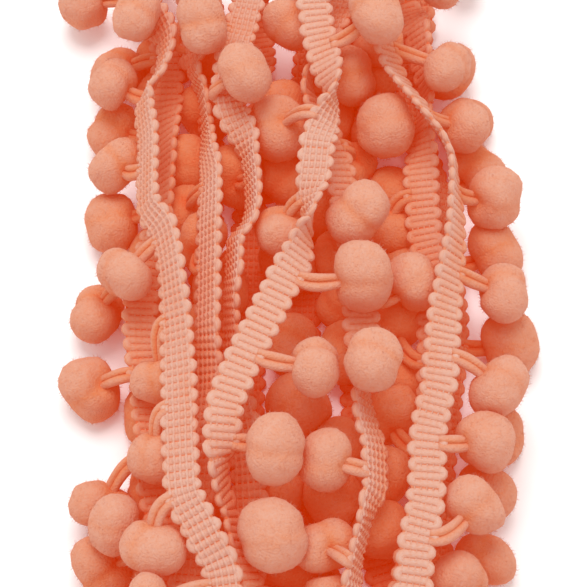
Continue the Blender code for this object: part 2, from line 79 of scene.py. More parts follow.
class Seat(NamedTuple):
    """Where the pompom of a loop wants to lie, and its radius."""

    loop: int
    x: float
    y: float
    z: float
    radius: float


class Run(NamedTuple):
    """One run of the tape between two bends of the hank."""

    name: str
    first_loop: float
    places: tuple[Place, ...]
    seats: tuple[Seat, ...]


class Loop(NamedTuple):
    """A drawn loop: its run, its distance along the tape, and its seat if it has one."""

    run: int
    at: float
    seat: Seat | None


@dataclass(frozen=True)
class TrimSizes:
    """Driving sizes of the trim, as in the solids."""

    width: float = 7.0
    thickness: float = 1.3
    loop_width: float = 2.2
    loop_pitch: float = 16.5
    loop_straight: float = 1.4
    squeezed_radius: float = 4.6
    reach_max: float = 11.0
    reach_min: float = 7.2
    end_margin: float = 3.0
    path_step: float = 0.5
    fine_step: float = 0.1
    bend_steps: int = 8


SIZES = TrimSizes()
FLAT = SIZES.thickness / 2

RUNS = (
    Run("upper_1", 10.25, (
        Place(-63, -10.5, 19.5, -180), Place(-51, -11.7, 21, -176), Place(-44, -15.2, 22.8, -172),
        Place(-37, -18.4, 23.3, -168), Place(-24, -19.2, 22.3, -165), Place(-8, -20.2, 21.5, -152),
        Place(4, -21.5, 22, -137), Place(12, -23.1, 21, -138), Place(18, -26.2, 20, -127),
        Place(32, -26.7, 18.5, -126), Place(40, -27.6, 17.5, -122), Place(43, -26.9, 17.5, -102),
        Place(46, -25.1, 17.5, -110), Place(53, -23.9, 17.5, -124), Place(66, -29.5, 17.5, -180)), (
        Seat(1, -23.5, -45, 18.5, 5), Seat(2, -23, -29, 16.5, 4.4), Seat(3, -23, -14.5, 15.5, 4.4),
        Seat(4, -28.8, 6.5, 17, 5), Seat(5, -31.5, 28.5, 13.5, 4.6), Seat(6, -34, 46.5, 14, 4.4),
        Seat(7, -29.5, 56.5, 22, 4.4))),
    Run("lower_1", 4.25, (
        Place(-60, -21.2, 3, -180), Place(-45, -21.4, 10, -188), Place(-32, -24, 10.5, -195),
        Place(-21, -25, 10.2, -195), Place(-15, -25.6, 10.1, -195), Place(-5, -27.3, 10.2, -195),
        Place(4, -27.6, 10.6, -190), Place(15, -25.5, 10.6, -160), Place(25, -24, 11, -125),
        Place(34, -23.7, 11, -124), Place(41, -23.8, 10.4, -145), Place(46, -24.2, 10.2, -178),
        Place(53, -24.2, 10, -180), Place(60, -25, 9.6, -178), Place(66, -29.4, 8, -180)), (
        Seat(1, -33, 54, 5.5, 4.7), Seat(2, -34.5, 41.5, 5, 4.4), Seat(3, -34, 21.5, 5, 4.8),
        Seat(4, -36, 3, 5, 4.8), Seat(5, -36.5, -12, 5, 5), Seat(6, -32, -36, 6.5, 4.7),
        Seat(7, -32, -45, 5, 4.8))),
    Run("upper_2", 11.25, (
        Place(-61, -19, 14.6, -180), Place(-45, -17, 13.8, -168), Place(-30, -15.8, 14.4, -155),
        Place(-14, -14.8, 16, -140), Place(-4, -15, 19, -133), Place(14, -15.1, 19, -132),
        Place(24, -15, 18.2, -129), Place(30, -15.7, 16, -118), Place(37, -16.1, 13.7, -107),
        Place(44, -16.9, 14.8, -102), Place(48, -18.4, 15, -104), Place(56, -18.8, 13.8, -185),
        Place(66, -17.6, 13, -180)), (
        Seat(2, -17, -25.5, 6.5, 4.4), Seat(4, -17, 14.5, 10, 4.4), Seat(5, -20.5, 25, 6.5, 4.5),
        Seat(6, -18.5, 42.5, 6.5, 4.4), Seat(7, -19, 62, 19.5, 4.5))),
    Run("lower_2", 8.0, (
        Place(-60, -12, 1.5, -180), Place(-45, -15, FLAT, -180), Place(0, -16.4, FLAT, -180),
        Place(50, -16.8, FLAT, -180), Place(66, -17.3, 1.8, -180)), ()),
    Run("upper_3", 16.0, (
        Place(-62, -10.2, 13.2, -180), Place(-50, -8, 11.2, -170), Place(-40, -7.4, 10.2, -168),
        Place(-29, -7.9, 12, -158), Place(-20, -9, 12.4, -150), Place(-10, -10.5, 13, -130),
        Place(-2.5, -11, 15.5, -114), Place(1, -11, 17, -113), Place(5, -10.6, 18, -118),
        Place(11, -10.5, 18, -120), Place(15, -8.1, 18, -117), Place(19, -7.2, 18, -115),
        Place(29, -8, 18, -117), Place(32.5, -9, 18.5, -150), Place(37.5, -11.3, 19, -185),
        Place(41, -12, 19.4, -190), Place(49, -11.5, 19, -190), Place(57, -10, 16.4, -185),
        Place(67, -8.5, 15, -180)), (
        Seat(2, -8, -27, 6.5, 4.4), Seat(5, -11.5, 29.5, 9, 4.9), Seat(6, -9, 42, 25, 5),
        Seat(7, -17, 52, 24, 5))),
    Run("lower_3", 16.0, (
        Place(-60, -4.5, 1.5, 0), Place(-45, -7.2, FLAT, 0), Place(0, -8.6, FLAT, 0),
        Place(36, -8.2, FLAT, 0), Place(44, -7.2, 2.2, -30), Place(50, -6.4, 4.2, -90),
        Place(56, -6.5, 3, -150), Place(67, -7.5, 1.8, -180)), (
        Seat(1, -2, 45.8, 6.3, 4.4), Seat(5, 3.5, -19, 7.5, 5))),
    Run("upper_4", 14.0, (
        Place(-61, -2.5, 15.5, 360), Place(-51, -7, 16, 310), Place(-44, -9.3, 16.5, 298),
        Place(-38.5, -10.9, 17.5, 290), Place(-35.5, -12, 19.5, 288), Place(-32, -12.3, 22.5, 302),
        Place(-29.5, -12, 24, 335), Place(-24, -11.7, 25, 352), Place(-19, -10.3, 25, 360),
        Place(-11.5, -7.2, 25, 360), Place(-3.5, -3.4, 25, 355), Place(1, -1.4, 25, 348),
        Place(5.5, 0.8, 24.5, 325), Place(9.5, 1.8, 24, 297), Place(12, 2.9, 24, 272),
        Place(17, 3, 24, 228), Place(21.5, 3.6, 24, 190), Place(28.5, 4.4, 24, 180),
        Place(34.5, 6.1, 23, 140), Place(38.5, 7.2, 23, 95), Place(42, 6.7, 23, 52),
        Place(51, 4.9, 22, 12), Place(58, 4, 22, 0), Place(68, 3.5, 21.5, 0)), (
        Seat(1, -3.5, -44.5, 20.5, 5.6), Seat(2, -3, -31, 25, 5.2), Seat(3, 4, -15.5, 24, 4.9),
        Seat(4, 12, 2, 23, 5.6), Seat(5, -2, 14, 16, 4.9), Seat(6, -3, 36, 16, 5.2),
        Seat(7, 15, 52.5, 28, 5.5))),
    Run("lower_4", 6.0, (
        Place(-61, 8.5, 2, -180), Place(-50, 7.5, 3.6, -130), Place(-44, 5.5, 4.2, -90),
        Place(-38, 3.8, 2.2, -30), Place(-28, 2, FLAT, 0), Place(0, 1.6, FLAT, 0),
        Place(40, 1.8, FLAT, 0), Place(68, 3.5, 1.5, 0)), (
        Seat(3, 6.5, 23.5, 6.4, 4.6), Seat(6, 8, -23.5, 6.4, 4.6), Seat(7, 8.5, -34, 6.4, 4.6))),
    Run("upper_5", 7.25, (
        Place(-62, 9, 15, 540), Place(-50, 9.9, 17, 475), Place(-46.5, 10.4, 17, 467),
        Place(-42.5, 11.4, 17, 468), Place(-37.5, 12.8, 18, 482), Place(-35, 13.8, 18, 493),
        Place(-28, 13.7, 18, 493), Place(-22.5, 12.3, 18, 488), Place(-18, 11.8, 17.5, 478),
        Place(-13, 11.9, 17, 440), Place(-6, 12, 16, 375), Place(-2, 12, 16, 362),
        Place(8, 11.5, 15, 352), Place(23, 9.2, 15, 338), Place(28.5, 8.2, 15, 338),
        Place(33, 7, 15, 334), Place(40, 4.5, 15, 310), Place(45, 2.7, 15.4, 288),
        Place(52, 4.5, 14.5, 250), Place(60, 8, 14, 210), Place(67, 10, 13, 180)), (
        Seat(1, 5.5, -44.5, 14.5, 4.7), Seat(2, 5, -31, 20, 4.7), Seat(3, 13, -15.5, 26.5, 4.9),
        Seat(5, 11.5, 15, 21.5, 5.2), Seat(6, 12, 30.5, 6.6, 4.5), Seat(7, 11.5, 48, 13, 4.7),
        Seat(8, -1, 59, 14.5, 4.6))),
    Run("lower_5", 4.0, (
        Place(-60, 18.5, 12.8, 0), Place(-48, 19.5, 12.2, -25), Place(-38, 21, 11, -90),
        Place(-28, 23.5, 11.5, -150), Place(-15, 24.8, 12, -160), Place(5, 25.2, 12.5, -162),
        Place(10, 24.6, 13, -163), Place(14.5, 24, 13, -165), Place(19.5, 23.7, 13, -168),
        Place(26, 23.6, 13, -168), Place(33, 23.8, 12.4, -150), Place(39, 24.2, 11.8, -118),
        Place(46, 25.3, 10.9, -108), Place(51, 24.8, 10.8, -118), Place(60, 23.8, 11, -135),
        Place(68, 21.5, 7.5, -180)), (
        Seat(1, 15.5, 57.5, 12, 5), Seat(2, 16, 35.5, 12.8, 5.2), Seat(3, 17.5, 18.5, 7, 4.8),
        Seat(4, 18, 8.5, 6.3, 4.8), Seat(5, 17.5, -1.5, 6.3, 4.7), Seat(6, 17, -17, 6, 4.8))),
    Run("upper_6", 5.4, (
        Place(-62, 18.5, 18, 0), Place(-50, 19.9, 19.5, -5), Place(-45.5, 20.4, 20, -6),
        Place(-37, 22.2, 20, -5), Place(-27.5, 22.7, 20, -6), Place(-16, 25, 20, -6),
        Place(-5, 26.2, 20, -20), Place(5, 27.8, 20, -42), Place(12.5, 28.9, 20, -57),
        Place(17.5, 29.2, 20, -64), Place(22.5, 29.1, 20, -75), Place(26.5, 29, 20, -78),
        Place(31, 27.6, 20.6, -78), Place(35, 25, 21, -69), Place(38.5, 23, 21, -57),
        Place(42.5, 20.3, 20.6, -53), Place(47, 18.3, 20, -44), Place(53, 17, 20, -44),
        Place(60, 16.5, 19.5, -25), Place(68, 16.5, 19, 0)), (
        Seat(1, 30, -38, 17, 4.7), Seat(2, 33, -26, 17, 5), Seat(3, 35.5, -16.5, 16, 5.2),
        Seat(4, 37.5, 3, 14, 5), Seat(5, 37, 22.5, 13, 5), Seat(6, 31.5, 38, 12, 4.7),
        Seat(7, 28.8, 45.8, 14.5, 4.5))),
    Run("lower_6", 4.0, (
        Place(-66, 23, 6.4, 0), Place(-54, 24.5, 5, 0), Place(-42, 24.5, 3.8, -15),
        Place(-30, 25.5, 4.5, -28), Place(-15, 27.5, 5.5, -34), Place(0, 29.4, 5.5, -36),
        Place(15, 28.5, 5.5, -36), Place(30, 27, 4.2, -30), Place(45, 23, 3.2, -16),
        Place(58, 22.5, 2.5, -10), Place(68, 25, 2, 0)), (
        Seat(1, 28.5, 54, 4.6, 4.5), Seat(2, 33, 42.8, 4.8, 4.6), Seat(3, 34, 33, 4.5, 4.6),
        Seat(4, 37, 15.5, 5, 5), Seat(5, 39.5, -3, 5, 5), Seat(7, 32.5, -31, 4.5, 4.7),
        Seat(8, 30, -45, 5.5, 4.5))),
    Run("lower_7", 14.0, (
        Place(-66, 20, FLAT, 0), Place(-54, 18.5, FLAT, 0), Place(-40, 14.5, FLAT, 0),
        Place(0, 11.5, FLAT, 0), Place(40, 12, FLAT, 0), Place(55, 13.5, FLAT, 0),
        Place(67, 14.5, FLAT, 0)), (
        Seat(0, 15.8, -53, 6.4, 4.4), Seat(1, 16, -34, 6.2, 4.5), Seat(2, 21.5, -26.5, 4.4, 4.6),
        Seat(3, 21.5, -8.5, 4.4, 4.5), Seat(4, 8.5, 4.5, 6.4, 4.6), Seat(5, 21, 27.5, 4.4, 4.5),
        Seat(6, 14.5, 43, 6, 4.2), Seat(7, 14.5, 51.5, 6, 4.2))),
)


def stood(name: str, data: bpy.types.ID) -> bpy.types.Object:
    """Put something into the scene, as an object at the origin.

    Args:
        name: Name of the object.
        data: Its mesh, lamp or camera.

    Returns:
        The object.
    """
    made = bpy.data.objects.new(name, data)
    bpy.context.scene.collection.objects.link(made)
    return made


def unit(vectors: Array) -> Array:
    """Vectors scaled to length 1."""
    return vectors / np.linalg.norm(vectors, axis=-1, keepdims=True)


def turned(vectors: Array, start: Array, end: Array) -> Array:
    """Turn vectors by the smallest rotation that takes one direction to another.

    With a = start x end and c = start . end, a vector v goes to v + a x v + a x (a x v) / (1 + c).

    Args:
        vectors: Vectors to turn, (..., 3).
        start: Unit directions, (..., 3).
        end: Unit directions, (..., 3).

    Returns:
        The turned vectors.
    """
    axis = np.cross(start, end)
    cosine = np.sum(start * end, axis=-1, keepdims=True)
    cross = np.cross(axis, vectors)
    return vectors + cross + np.cross(axis, cross) / (1.0 + cosine)


def flow(knots: Array, values: Array, at: Array) -> Array:
    """Smooth curve through values at knots that never overshoots them.

    It is the monotone cubic: the slope at a knot is the weighted harmonic mean of the slopes on
    its two sides, and zero where they differ in sign.

    Args:
        knots: Rising places.
        values: Values at the knots.
        at: Places to read.

    Returns:
        Values at those places.
    """
    step = np.diff(knots)
    slope = np.diff(values) / step
    before, after = 2.0 * step[1:] + step[:-1], step[1:] + 2.0 * step[:-1]
    same = slope[:-1] * slope[1:] > 0.0
    slope_before, slope_after = np.where(same, [slope[:-1], slope[1:]], 1.0)
    blended = (before + after) / (before / slope_before + after / slope_after)
    tangent = np.concatenate([slope[:1], np.where(same, blended, 0.0), slope[-1:]])
    span = np.clip(np.searchsorted(knots, at, side="right") - 1, 0, len(step) - 1)
    part = (at - knots[span]) / step[span]
    rest = (1.0 - part) ** 2
    return ((1.0 + 2.0 * part) * rest * values[span] + part * rest * step[span] * tangent[span]
            + part ** 2 * (3.0 - 2.0 * part) * values[span + 1]
            + part ** 2 * (part - 1.0) * step[span] * tangent[span + 1])


def bend_places(leave: Array, enter: Array) -> Array:
    """Half turn between two runs, as rows (x, y, z, roll).

    A row at angle a is leave + (enter - leave) (1 - cos a) / 2, pushed outward along Y by half
    the height between the runs times sin a.

    Args:
        leave: Last row of the run before.
        enter: First row of the run after.

    Returns:
        The rows between them.
    """
    outward = math.copysign(1.0, leave[1])
    angle = np.linspace(0.0, math.pi, SIZES.bend_steps + 1)[1:-1]
    share = (1.0 - np.cos(angle)) / 2.0
    rows = leave + (enter - leave) * share[:, None]
    rows[:, 1] += outward * abs(leave[2] - enter[2]) / 2.0 * np.sin(angle)
    rows[:, 3] = leave[3]
    return rows


def joined_places(runs: Sequence[Run]) -> tuple[Array, list[int]]:
    """Join the runs with the half turns between them.

    Args:
        runs: The runs in order, every second one laid the other way.

    Returns:
        The rows (x, y, z, roll) of the whole tape, and which row is the middle of each bend.
    """
    rows: list[Array] = []
    cut_rows: list[int] = []
    for number, run in enumerate(runs):
        table = np.array([(p.x, p.y, p.z, p.roll) for p in run.places], float)
        if number % 2:
            table = table[::-1]
        if rows:
            table[:, 3] += 360.0 * round((rows[-1][3] - table[0, 3]) / 360.0)
            bend = bend_places(rows[-1], table[0])
            cut_rows.append(len(rows) + len(bend) // 2)
            rows.extend(bend)
        rows.extend(table)
    return np.array(rows), cut_rows


def lengths(points: Array) -> Array:
    """Length along a chain of points up to each of them."""
    steps = np.linalg.norm(np.diff(points, axis=0), axis=1)
    return np.concatenate(([0.0], np.cumsum(steps)))


class TapeWay:
    """The way of the whole tape: its middle line, its pompom edge and where its runs end."""

    def __init__(self, runs: Sequence[Run]) -> None:
        """Draw one smooth line through the places of all runs and read it at even steps.

        The pompom edge is level at no roll and turns about the line by the roll.

        Args:
            runs: The runs in order, every second one laid the other way.
        """
        table, cut_rows = joined_places(runs)
        knots = lengths(table[:, :3])
        fine = np.linspace(0.0, knots[-1], int(knots[-1] / SIZES.fine_step))
        arc = lengths(np.stack([flow(knots, table[:, k], fine) for k in range(3)], axis=1))
        self.length = arc[-1]
        self.cuts = [0.0, *np.interp(knots[cut_rows], fine, arc).tolist(), self.length]
        count = int(round(self.length / SIZES.path_step)) + 1
        self.at = np.linspace(0.0, self.length, count)
        station = np.interp(self.at, arc, fine)
        table = np.stack([flow(knots, table[:, k], station) for k in range(4)], axis=1)
        self.point = table[:, :3]
        roll = np.radians(table[:, 3])[:, None]
        self.along = unit(np.gradient(self.point, axis=0))
        level = unit(np.array([1.0, 0.0, 0.0]) - self.along[:, :1] * self.along)
        upward = np.cross(level, self.along) * np.where(self.along[:, 1:2] < 0.0, -1.0, 1.0)
        self.edge = np.cos(roll) * level + np.sin(roll) * upward
        self.face = np.cross(self.along, self.edge)

    def read(self, at: Array) -> tuple[Array, ...]:
        """Read the tape's frame at distances along it.

        Args:
            at: Distances along the tape, of any shape.

        Returns:
            The middle point, the direction, the direction of the pompom edge and the face's
            normal, each with one more axis than at.
        """
        at = np.asarray(at, float)
        point, along, edge = (
            np.stack([np.interp(at, self.at, field[:, k]) for k in range(3)], axis=-1)
            for field in (self.point, self.along, self.edge))
        along = unit(along)
        edge = unit(edge - np.sum(edge * along, axis=-1, keepdims=True) * along)
        return point, along, edge, np.cross(along, edge)

    def lay(self, at: Array, across: Array, above: Array) -> Array:
        """Lay points on the tape: middle(at) + edge(at) * across + normal(at) * above.

        Args:
            at: Distances along the tape.
            across: Distances from its middle towards the pompom edge.
            above: Heights over its middle plane.

        Returns:
            The points in the frame of the solids.
        """
        point, _, edge, face = self.read(at)
        return point + edge * across[..., None] + face * above[..., None]

    def loops(self, runs: Sequence[Run]) -> list[Loop]:
        """Find every drawn loop, from the first of each run at even steps to the run's end.

        Args:
            runs: The runs in order.

        Returns:
            The loops in order.
        """
        found: list[Loop] = []
        for number, run in enumerate(runs):
            start, end = self.cuts[number], self.cuts[number + 1] - SIZES.end_margin
            seats = {seat.loop: seat for seat in run.seats}
            first = start + run.first_loop
            count = math.ceil((end - first) / SIZES.loop_pitch)
            found.extend(Loop(number, first + k * SIZES.loop_pitch, seats.get(k))
                         for k in range(count))
        return found


@dataclass(frozen=True)
class Settling:
    """How pompoms settle against the tape, the surface and each other, as in the solids.

    At each step a pompom goes the share pull of its way to its seat, or, where it has none,
    that share over seatless and the drop sink. Both die away over the share free of the steps.
    rein is how hard a loop holds its pompom within reach, with rein_at_first more at the start.
    """

    steps: int = 400
    steps_between_looks: int = 10
    pull: float = 0.06
    seatless: float = 3.0
    sink: float = 0.02
    free: float = 0.55
    rein: float = 0.3
    rein_at_first: float = 0.5
    far: float = 99.0
    box_step: float = 3.0
    box_half: tuple[float, float, float] = (
        1.6, SIZES.width / 2 + 0.15, SIZES.thickness / 2 + 0.05)
    fold_side: float = 4.5
    fold_rise: float = 5.5
    hang_side: float = 8.5
    hang_drop: float = 1.0
    spacing: float = 0.5
    floor_flat: float = 0.45
    stem_shares: tuple[float, ...] = (0.1, 0.4, 0.7)
    stem_pushed_from: float = 0.3
    near_boxes: int = 48

    def nearby(self, points: Array, centres: Array) -> Array:
        """Numbers of the stretches of tape that lie nearest to each point."""
        apart = np.linalg.norm(points[:, None, :] - centres[None, :, :], axis=2)
        return np.argpartition(apart, self.near_boxes, axis=1)[:, :self.near_boxes]

    def shove(self, balls: Array, others: Array, reach: Array) -> Array:
        """Half of the move that takes each ball clear of each other one, away from it.

        Args:
            balls: Ball centres.
            others: As many other centres, each left alone by the ball of its own number.
            reach: How far each ball's centre keeps from each of them.

        Returns:
            A move for each pair, zero where the two are clear.
        """
        between = balls[:, None, :] - others[None, :, :]
        distance = np.linalg.norm(between, axis=2) + np.eye(len(balls)) * self.far
        depth = np.maximum(reach - distance, 0.0)
        return between / distance[..., None] * depth[..., None] * 0.5

    def push_off(self, points: Array, radius: Array,
                 boxes: tuple[Array, Array], near: Array) -> Array:
        """How far balls must move to clear the tape: the deepest push for each ball.

        Args:
            points: Ball centres.
            radius: Ball radii.
            boxes: Middles and axes of short straight stretches of the tape.
            near: Numbers of the stretches to test for each ball.

        Returns:
            One move for each ball.
        """
        centre, axes = boxes
        local = np.einsum("pbk,pbak->pba", points[:, None, :] - centre[near], axes[near])
        half = np.array(self.box_half)
        gap = local - np.clip(local, -half, half)
        distance = np.linalg.norm(gap, axis=2)
        closest = np.argmin(distance, axis=1)
        rows = np.arange(len(points))
        depth = radius - distance[rows, closest]
        away = gap[rows, closest]
        away[distance[rows, closest] < 1e-6] = [0.0, 0.0, 1.0]
        world = np.einsum("pa,pak->pk", unit(away), axes[near[rows, closest]])
        return world * np.maximum(depth, 0.0)[:, None]

    def settle(self, way: TapeWay, loops: Sequence[Loop]) -> tuple[Array, Array]:
        """Push the pompoms clear of the tape, the surface, the loops and each other.

        Args:
            way: The tape.
            loops: The drawn loops.

        Returns:
            Centres and radii of the pompoms.
        """
        at = np.array([loop.at for loop in loops])
        point, _, edge, _ = way.read(at)
        root = point + edge * SIZES.width / 2
        bend = root + edge * SIZES.loop_straight
        radius = np.array([loop.seat.radius if loop.seat else SIZES.squeezed_radius
                           for loop in loops])
        floor_run = point[:, 2] < SIZES.thickness
        target = root + edge * np.where(floor_run, self.fold_side, self.hang_side)[:, None]
        target[:, 2] += np.where(floor_run, self.fold_rise, -self.hang_drop)
        held = np.array([loop.seat is not None for loop in loops])
        target[held] = [(loop.seat.x, loop.seat.y, loop.seat.z) for loop in loops if loop.seat]
        target[:, 2] = np.maximum(target[:, 2], radius - self.floor_flat)
        centre = target.copy()
        every = slice(0, None, int(self.box_step / SIZES.path_step))
        axes = np.stack([way.along[every], way.edge[every], way.face[every]], axis=1)
        boxes = (way.point[every], axes)
        girth = np.full(len(loops), SIZES.loop_width / 2 + self.spacing)
        ball_reach = radius[:, None] + radius[None, :] + self.spacing
        stem_reach = radius[:, None] + girth[None, :]
        for step in range(self.steps):
            if step % self.steps_between_looks == 0:
                near = self.nearby(centre, boxes[0])
            freedom = max(0.0, 1.0 - step / (self.steps * self.free))
            pull = np.where(held, self.pull, self.pull / self.seatless) * freedom
            centre += (target - centre) * pull[:, None]
            centre[~held, 2] -= self.sink * freedom
            centre += np.sum(self.shove(centre, centre, ball_reach), axis=1)
            for share in self.stem_shares:
                stem = bend + (centre - bend) * share
                push = self.shove(centre, stem, stem_reach)
                centre += np.sum(push, axis=1)
                centre -= np.sum(push, axis=0) * share
                if share > self.stem_pushed_from:
                    centre += self.push_off(stem, girth, boxes, near)
            arm = centre - bend
            reach = np.linalg.norm(arm, axis=1)
            wanted = np.clip(reach, SIZES.reach_min - SIZES.loop_straight,
                             SIZES.reach_max - SIZES.loop_straight)
            rein = self.rein + self.rein_at_first * freedom
            centre += arm * ((wanted / reach - 1.0) * rein)[:, None]
            centre += self.push_off(centre, radius + self.spacing, boxes, near)
            centre[:, 2] = np.maximum(centre[:, 2], radius - self.floor_flat)
        return np.round(centre, 3), radius


@dataclass(frozen=True)
class Gloom:
    """How much of the light from above the trim itself takes away, on a lattice of places.

    A ball counts at a place unless its middle lies more than under below it, and nearest keeps
    its squared distance above zero.
    """

    low: Array
    blocked: Array
    step: float = 2.0
    margin: float = 3.0
    under: float = 1.0
    nearest: float = 1e-3
    tape_step: float = 2.5
    tape_side: float = 1.75
    tape_ball: float = 1.45

    @staticmethod
    def found(way: TapeWay, centres: Array, radii: Array) -> Gloom:
        """Find the share of light that the pompoms and the tape block at each lattice place.

        A ball of radius r at distance d blocks the share (r / d)^2 h of an even sky, where h is
        the height over the place divided by d. The shares that pass are multiplied. The tape
        counts as two rows of small balls.

        Args:
            way: The tape.
            centres: Centres of the pompoms.
            radii: Their radii.

        Returns:
            The lattice.
        """
        at = np.arange(0.0, way.length, Gloom.tape_step)[:, None]
        across = np.array([-Gloom.tape_side, Gloom.tape_side])
        at, across = np.broadcast_arrays(at, across)
        rows = way.lay(at, across, np.zeros(at.shape)).reshape(-1, 3)
        balls = np.concatenate([centres, rows])
        sizes = np.concatenate([radii, np.full(len(rows), Gloom.tape_ball)])
        low = balls.min(axis=0) - Gloom.margin - sizes.max()
        high = balls.max(axis=0) + Gloom.margin + sizes.max()
        low[2] = 0.0
        counts = np.ceil((high - low) / Gloom.step).astype(int) + 1
        axes = [low[k] + np.arange(counts[k]) * Gloom.step for k in range(3)]
        layers = []
        for height in axes[2]:
            places = np.stack(np.meshgrid(axes[0], axes[1], height, indexing="ij"), axis=-1)
            over = balls[:, 2] > height - Gloom.under
            away = (balls[over] - places.reshape(-1, 1, 3)).astype(np.float32)
            square = np.maximum(np.sum(away ** 2, axis=2), Gloom.nearest)
            share = np.minimum(sizes[over].astype(np.float32) ** 2 / square, 1.0)
            share *= np.maximum(away[..., 2], 0.0) / np.sqrt(square)
            layers.append(1.0 - np.prod(1.0 - share, axis=1).reshape(counts[0], counts[1]))
        return Gloom(low, np.stack(layers, axis=-1))

    def at(self, points: Array) -> Array:
        """Read the blocked share evenly between the eight lattice places around each point.

        Args:
            points: Points in millimetres, (points, 3).

        Returns:
            A share for each.
        """
        place = (points - self.low) / self.step
        # A corner and the one after it both lie on the lattice.
        place = np.clip(place, 0.0, np.array(self.blocked.shape) - 1.001)
        corner = place.astype(int)
        part = place - corner
        share = np.zeros(len(points))
        for number in range(8):
            shift = np.array([number & 1, number >> 1 & 1, number >> 2])
            weight = np.prod(np.where(shift, part, 1.0 - part), axis=1)
            share += weight * self.blocked[tuple((corner + shift).T)]
        return share


@dataclass
class Surface:
    """A closed surface: its corners, its faces, and what a finish reads at each corner.

    strand is the place on a yarn: the length along it, and two distances from its middle line.
    groove is painted shade, from 0 to 1, darker the further a corner lies between yarns or in a
    crease. normal is the direction in which a corner takes light, or zero where the faces around it
    tell that.
    """

    points: Array
    quads: Array
    triangles: Array
    strand: Array
    groove_shade: Array
    normal: Array | None = None

    @staticmethod
    def joined(parts: Sequence[Surface]) -> Surface:
        """One surface of several, with the corner numbers of each moved on past the last.

        Args:
            parts: The surfaces in order.

        Returns:
            The surface that holds them all.
        """
        starts = np.cumsum([0] + [len(part.points) for part in parts[:-1]])
        rows = [(part.points, part.quads + start, part.triangles + start, part.strand,
                 part.groove_shade, np.zeros(part.points.shape) if part.normal is None else part.normal)
                for part, start in zip(parts, starts)]
        return Surface(*(np.concatenate(column) for column in zip(*rows)))

    def piece(self, name: str, finish: bpy.types.Material, gloom: Gloom) -> bpy.types.Object:
        """Make one object of the surface, in metres, resting on the floor's height.

        Args:
            name: Name of the object and its mesh.
            finish: Material of every face.
            gloom: What the trim blocks of the light at each place.

        Returns:
            The object, at the origin.
        """
        points = self.points * METRES
        points[:, 2] = np.maximum(points[:, 2], 0.0)
        mesh = bpy.data.meshes.new(name)
        mesh.from_pydata(points.tolist(), [], self.quads.tolist() + self.triangles.tolist())
        # Painted shade in two attributes: groove darkens corners between yarns and in creases, and
        # depth darkens them by the share of light from above that the trim blocks there.
        for known, kind, field, values in (
                ("strand", "FLOAT_VECTOR", "vector", self.strand),
                ("groove_shade", "FLOAT", "value", self.groove_shade),
                ("depth", "FLOAT", "value", gloom.at(self.points) ** 2)):
            attribute = mesh.attributes.new(known, kind, "POINT")
            attribute.data.foreach_set(field, values.astype(np.float32).ravel())
        mesh.shade_smooth()
        mesh.materials.append(finish)
        mesh.update()
        if self.normal is not None and self.normal.any():
            mesh.normals_split_custom_set_from_vertices(self.normal.tolist())
        return stood(name, mesh)


def ring_faces(rings: int, sides: int) -> tuple[Array, Array]:
    """Faces of a closed grid of rings, each turning about the way ahead.

    Args:
        rings: Number of rings.
        sides: Corners of a ring.

    Returns:
        Four-sided faces between the rings, and a fan of triangles that closes each end, about
        two corners numbered after those of the rings.
    """
    number = np.arange(rings * sides).reshape(rings, sides)
    after = np.roll(number, -1, axis=1)
    quads = np.stack([number[:-1], after[:-1], after[1:], number[1:]], axis=-1).reshape(-1, 4)
    middle = np.full(sides, rings * sides)
    start = np.stack([middle, after[0], number[0]], axis=1)
    end = np.stack([middle + 1, number[-1], after[-1]], axis=1)
    return quads, np.concatenate([start, end])


def tube(grid: Array, strand: Array, groove_shade: Array) -> Surface:
    """Close a grid of rings into a tube with a fan of triangles at each end.

    Args:
        grid: Corners as (rings, sides, 3), each ring turning about the way ahead.
        strand: Places on the yarn, (rings, sides, 3).
        groove_shade: Painted shade in grooves, (rings, sides).

    Returns:
        The closed surface, with its two end middles as the last corners.
    """
    ends = [0, -1]
    return Surface(
        np.concatenate([grid.reshape(-1, 3), grid[ends].mean(axis=1)]),
        *ring_faces(*grid.shape[:2]),
        np.concatenate([strand.reshape(-1, 3), strand[ends].mean(axis=1)]),
        np.concatenate([groove_shade.ravel(), groove_shade[ends].mean(axis=1)]))


def circle(sides: int) -> tuple[Array, Array]:
    """Cosines and sines of even steps around a circle."""
    angle = np.arange(sides) * 2.0 * math.pi / sides
    return np.cos(angle), np.sin(angle)


class Face(Enum):
    """The two faces of the tape, with the side of its middle plane that each lies on."""

    STITCHED = 1.0
    RIBBED = -1.0


@dataclass(frozen=True)
class Binder:
    """A binding yarn of one face: its size, and how it rises and bulges over each rib."""

    face: Face
    radius: float
    height: float
    wave: float
    bulge: float
    # Painted shade all along the binder, from 0 to 1.
    groove_shade: float
    sides: int
    steps: int


# Painted shade: light on the plump binders, more on the tight ones.
PLUMP_BINDER = Binder(Face.STITCHED, radius=0.34, height=0.33, wave=0.14, bulge=0.4,
                      groove_shade=0.08, sides=5, steps=3)
TIGHT_BINDER = Binder(Face.RIBBED, radius=0.17, height=0.28, wave=0.1, bulge=0.2,
                      groove_shade=0.24, sides=3, steps=2)


@dataclass(frozen=True)
class Stretch:
    """The stretch of the tape's way that one run takes, with the places of its loops."""

    way: TapeWay
    start: float
    end: float
    loops: Array


